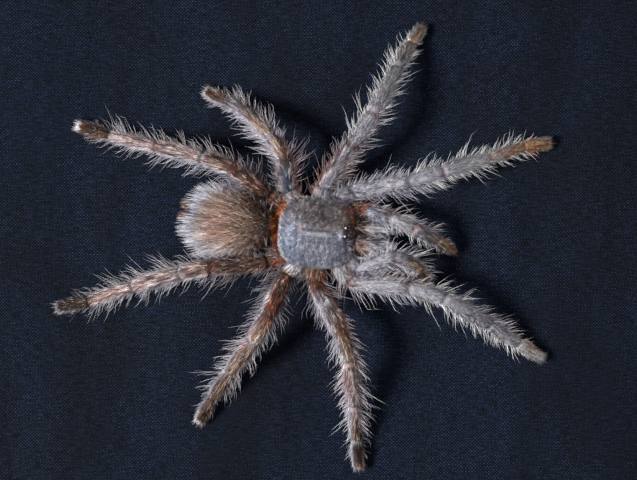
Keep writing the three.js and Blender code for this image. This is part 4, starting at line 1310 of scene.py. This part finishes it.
def make_coxae(finish, hair):
    mesh = skin_of("sternum_and_coxae", 0.42, finish, colour=lambda p: coxa_colour(p) * 0.7)
    coat = Coat("coxa_hair", "leg_cuticle")
    rng = coat.rng
    for count, size, rise, steps, bright in (
        (5000, (0.9, 1.8), (10, 28), 1, 0.45),
        (1700, (1.4, 2.8), (20, 55), 3, 1.05),
    ):
        place, normal = scatter(mesh, count, rng, upward(0.75, 0.15))
        flow = flattened((place - STERNUM_CENTRE) * (1, 1, 0.2), normal)
        tint = varied(painted(coxa_colour(place), (PALE, 0.35)) * bright, rng, 0.35, 0.15, 0.15)
        coat.grow(place, normal, flow, size, (1, 0.7, 0.5), tint, 0.05, steps, sway=20, rise=rise)

    count = 1500
    place, normal = scatter(
        mesh, count, rng, lambda p, n: np.max(near_rust(p), axis=0) * clamp(n[:, 2] + 0.4)
    )
    tint = painted(linear(BROWN), (RUST, rng.random(count)))
    tint = varied(tint * np.where(rng.random(count) < 0.4, 0.3, 1.1)[:, None], rng, 0.4, 0.06, 0.1)
    lift = rng.uniform(35, 85, count)
    flow = flattened(rng.normal(0, 1, place.shape), normal)
    tip = painted(tint, (CREAM, rng.random(count) ** 2 * 0.7))
    coat.grow(place, normal, flow, (1.4, 3.2), (lift,) * 3, tint, 0.05, 2, sway=30, tip=tip)
    coat.make(hair)


CHELICERAE = {
    "left": ([13.9, 6.4, 8.6], [24.4, 4.6, 6.4]),
    "right": ([13.9, 1.2, 8.6], [23.4, -0.3, 6.4]),
}
SPINNERETS = {
    "left": ([-30.6, 11.2, 6.4], [-32.5, 12.3, 6.1]),
    "right": ([-31.25, 8.5, 6.2], [-33.3, 9.0, 5.8]),
}
CHELICERA_STOPS = [(0, DARK), (0.12, BROWN), (0.26, PINK), (0.45, PALE), (0.8, LILAC), (1, TAN)]


def rod(near, far):
    """Where a straight part starts, its direction and its length."""
    near, far = (np.array(p, float) + (0, 0, CLOTH_TOP) for p in (near, far))
    return near, unit(far - near), np.linalg.norm(far - near)


def make_jaws(finish, hair, fang_finish):
    for name, ends in CHELICERAE.items():
        near, axis, length = rod(*ends)
        right = unit(np.cross(axis, UP))
        grain = Grain("jaw " + name)

        def colour(p):
            share = (p - near) @ axis / length
            across = np.arctan2((p - near) @ right, (p - near) @ np.cross(right, axis))
            streak = grain.at(across / math.pi * 9, share * 2.2)
            return along_stops(CHELICERA_STOPS, share) * np.exp(1.2 * streak)[:, None]

        node = f"chelicera_{name}"
        mesh = skin_of(node, 0.4, finish, colour=lambda p: colour(p) * 0.22)
        coat = Coat(f"{node}_hair", "leg_cuticle")
        rng = coat.rng
        for count, size, rise, steps, bright, pale in (
            (2800, (1.2, 2.0), (6, 14), 1, 0.3, 0.0),
            (900, (2.0, 3.8), (5, 14), 2, 1.45, 0.0),
            (130, (2.6, 4.4), (14, 36), 4, 1.3, 0.5),
        ):
            place, normal = scatter(mesh, count, rng, upward(0.6, 0.08))
            tint = varied(painted(colour(place), (PALE, pale)) * bright, rng, 0.4, 0.1, 0.15)
            flow = flattened(axis, normal)
            coat.grow(place, normal, flow, size, (1, 0.8, 0.8), tint, 0.05, steps, sway=8, rise=rise)
        coat.make(hair)
        skin_of(f"fang_{name}", 0.16, fang_finish)


def make_spinnerets(finish, hair):
    for name, ends in SPINNERETS.items():
        near, axis, length = rod(*ends)
        rng = draw_for(f"spinneret {name}")

        def wrinkled(points, normals):
            return points + normals * ripple((points - near) @ axis * 2, rng, fastest=3)[:, None] * 0.08

        node = f"spinneret_{name}"
        mesh = skin_of(node, 0.25, finish, wrinkled, lambda p: linear(BROWN, 0.35))
        coat = Coat(f"{node}_hair", "spinneret")
        place, normal = scatter(mesh, 900, coat.rng)
        tint = along_stops([(0, DARK), (0.5, BROWN), (1, RUST)], (place - near) @ axis / length) * 0.7
        tint = varied(tint, coat.rng, 0.6, 0.08, 0.3)
        coat.grow(place, normal, flattened(axis, normal), (0.9, 2.1), (45, 35, 25), tint, 0.05, 2, sway=18)
        coat.make(hair)


# ---- The frame's own finishes


def dress_frame():
    """Gives the frame's CAD nodes their finishes, with the wood's grain along each rail."""
    steel = steel_finish()
    finishes = {
        "sawtooth_hanger": steel,
        "back_panel": hardboard_finish(),
        "mount_board": card_finish(),
        "adhesive_pad": speckled_finish(
            "adhesive", 500, (0.6, 0.54, 0.4), (0.7, 0.66, 0.55), (0.4, 0.65), (0.0003, 0.5),
            Subsurface_Weight=0.1,
        ),
    }
    for sides, wood in (
        (("top", "bottom"), wood_finish("frame_wood_long", (0.35, 9, 9))),
        (("left", "right"), wood_finish("frame_wood_short", (9, 0.35, 9))),
    ):
        for side in sides:
            finishes[f"frame_rail_{side}"] = wood
            finishes[f"retaining_tab_{side}"] = steel
    for node, material in finishes.items():
        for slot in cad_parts[node].material_slots:
            slot.material = material


# ---- Camera, light and floor

CAMERA_PLACE = (0.00462, 0.00196, 0.6385)
SENSOR = 36.0
VIEW_WIDTH, VIEW_DISTANCE = 178.36, 630.0  # millimetres of cloth seen across, and from how far
LIT_SPOT = (0, 0, 0.01)
FLOOR_HALF = 3000


def area_light(name, place, size, power, colour):
    light = bpy.data.lights.new(name, "AREA")
    light.shape = "DISK"
    light.size = size
    light.energy = power
    light.color = colour
    holder = bpy.data.objects.new(name, light)
    holder.location = place
    holder.rotation_euler = (Vector(LIT_SPOT) - holder.location).to_track_quat("-Z", "Y").to_euler()
    bpy.context.scene.collection.objects.link(holder)


def set_stage():
    camera = bpy.data.cameras.new("camera")
    camera.sensor_width = SENSOR
    camera.lens = SENSOR / VIEW_WIDTH * VIEW_DISTANCE
    camera.clip_start, camera.clip_end = 0.01, 20
    holder = bpy.data.objects.new("camera", camera)
    holder.location = CAMERA_PLACE
    bpy.context.scene.collection.objects.link(holder)
    bpy.context.scene.camera = holder

    area_light("key", (-1.52, -0.27, 1.55), 0.6, 84, (1.0, 0.99, 0.98))
    area_light("fill", (1.3, 0.2, 1.6), 1.4, 9, (0.95, 0.97, 1.0))
    world = bpy.data.worlds.new("studio")
    world.use_nodes = True
    backdrop = world.node_tree.nodes["Background"]
    backdrop.inputs["Color"].default_value = (0.9, 0.94, 1.0, 1)
    backdrop.inputs["Strength"].default_value = 0.2
    bpy.context.scene.world = world
    bpy.context.scene.view_settings.view_transform = "Standard"

    points = [[x * FLOOR_HALF, y * FLOOR_HALF, 0] for x, y in ((-1, -1), (1, -1), (1, 1), (-1, 1))]
    floor = bpy.data.objects.new("floor", mesh_from("floor", points, [0, 1, 2, 3], [4]))
    floor.location.z = -0.0004
    floor.data.materials.append(
        speckled_finish("floor", 90, (0.72, 0.71, 0.69), (0.78, 0.77, 0.75), (0.6, 0.75), (0.0002, 0.2))
    )
    bpy.context.scene.collection.objects.link(floor)


# ---- Putting it together

set_stage()
dress_frame()
make_cloth(cloth_finish())
hair = hair_finish()
skin = cuticle_finish("leg_cuticle", 900, 0.5)
make_limbs(skin, hair)
make_carapace(cuticle_finish("carapace_cuticle", 1100, 0.5, gloss=0.1), hair)
make_eyes()
make_abdomen(cuticle_finish("abdomen_cuticle", 700, 0.65), hair)
make_coxae(skin, hair)
make_jaws(skin, hair, cuticle_finish("fang", 500, 0.22, gloss=0.6, colour=BLACK))
make_spinnerets(cuticle_finish("spinneret_cuticle", 1200, 0.5), hair)
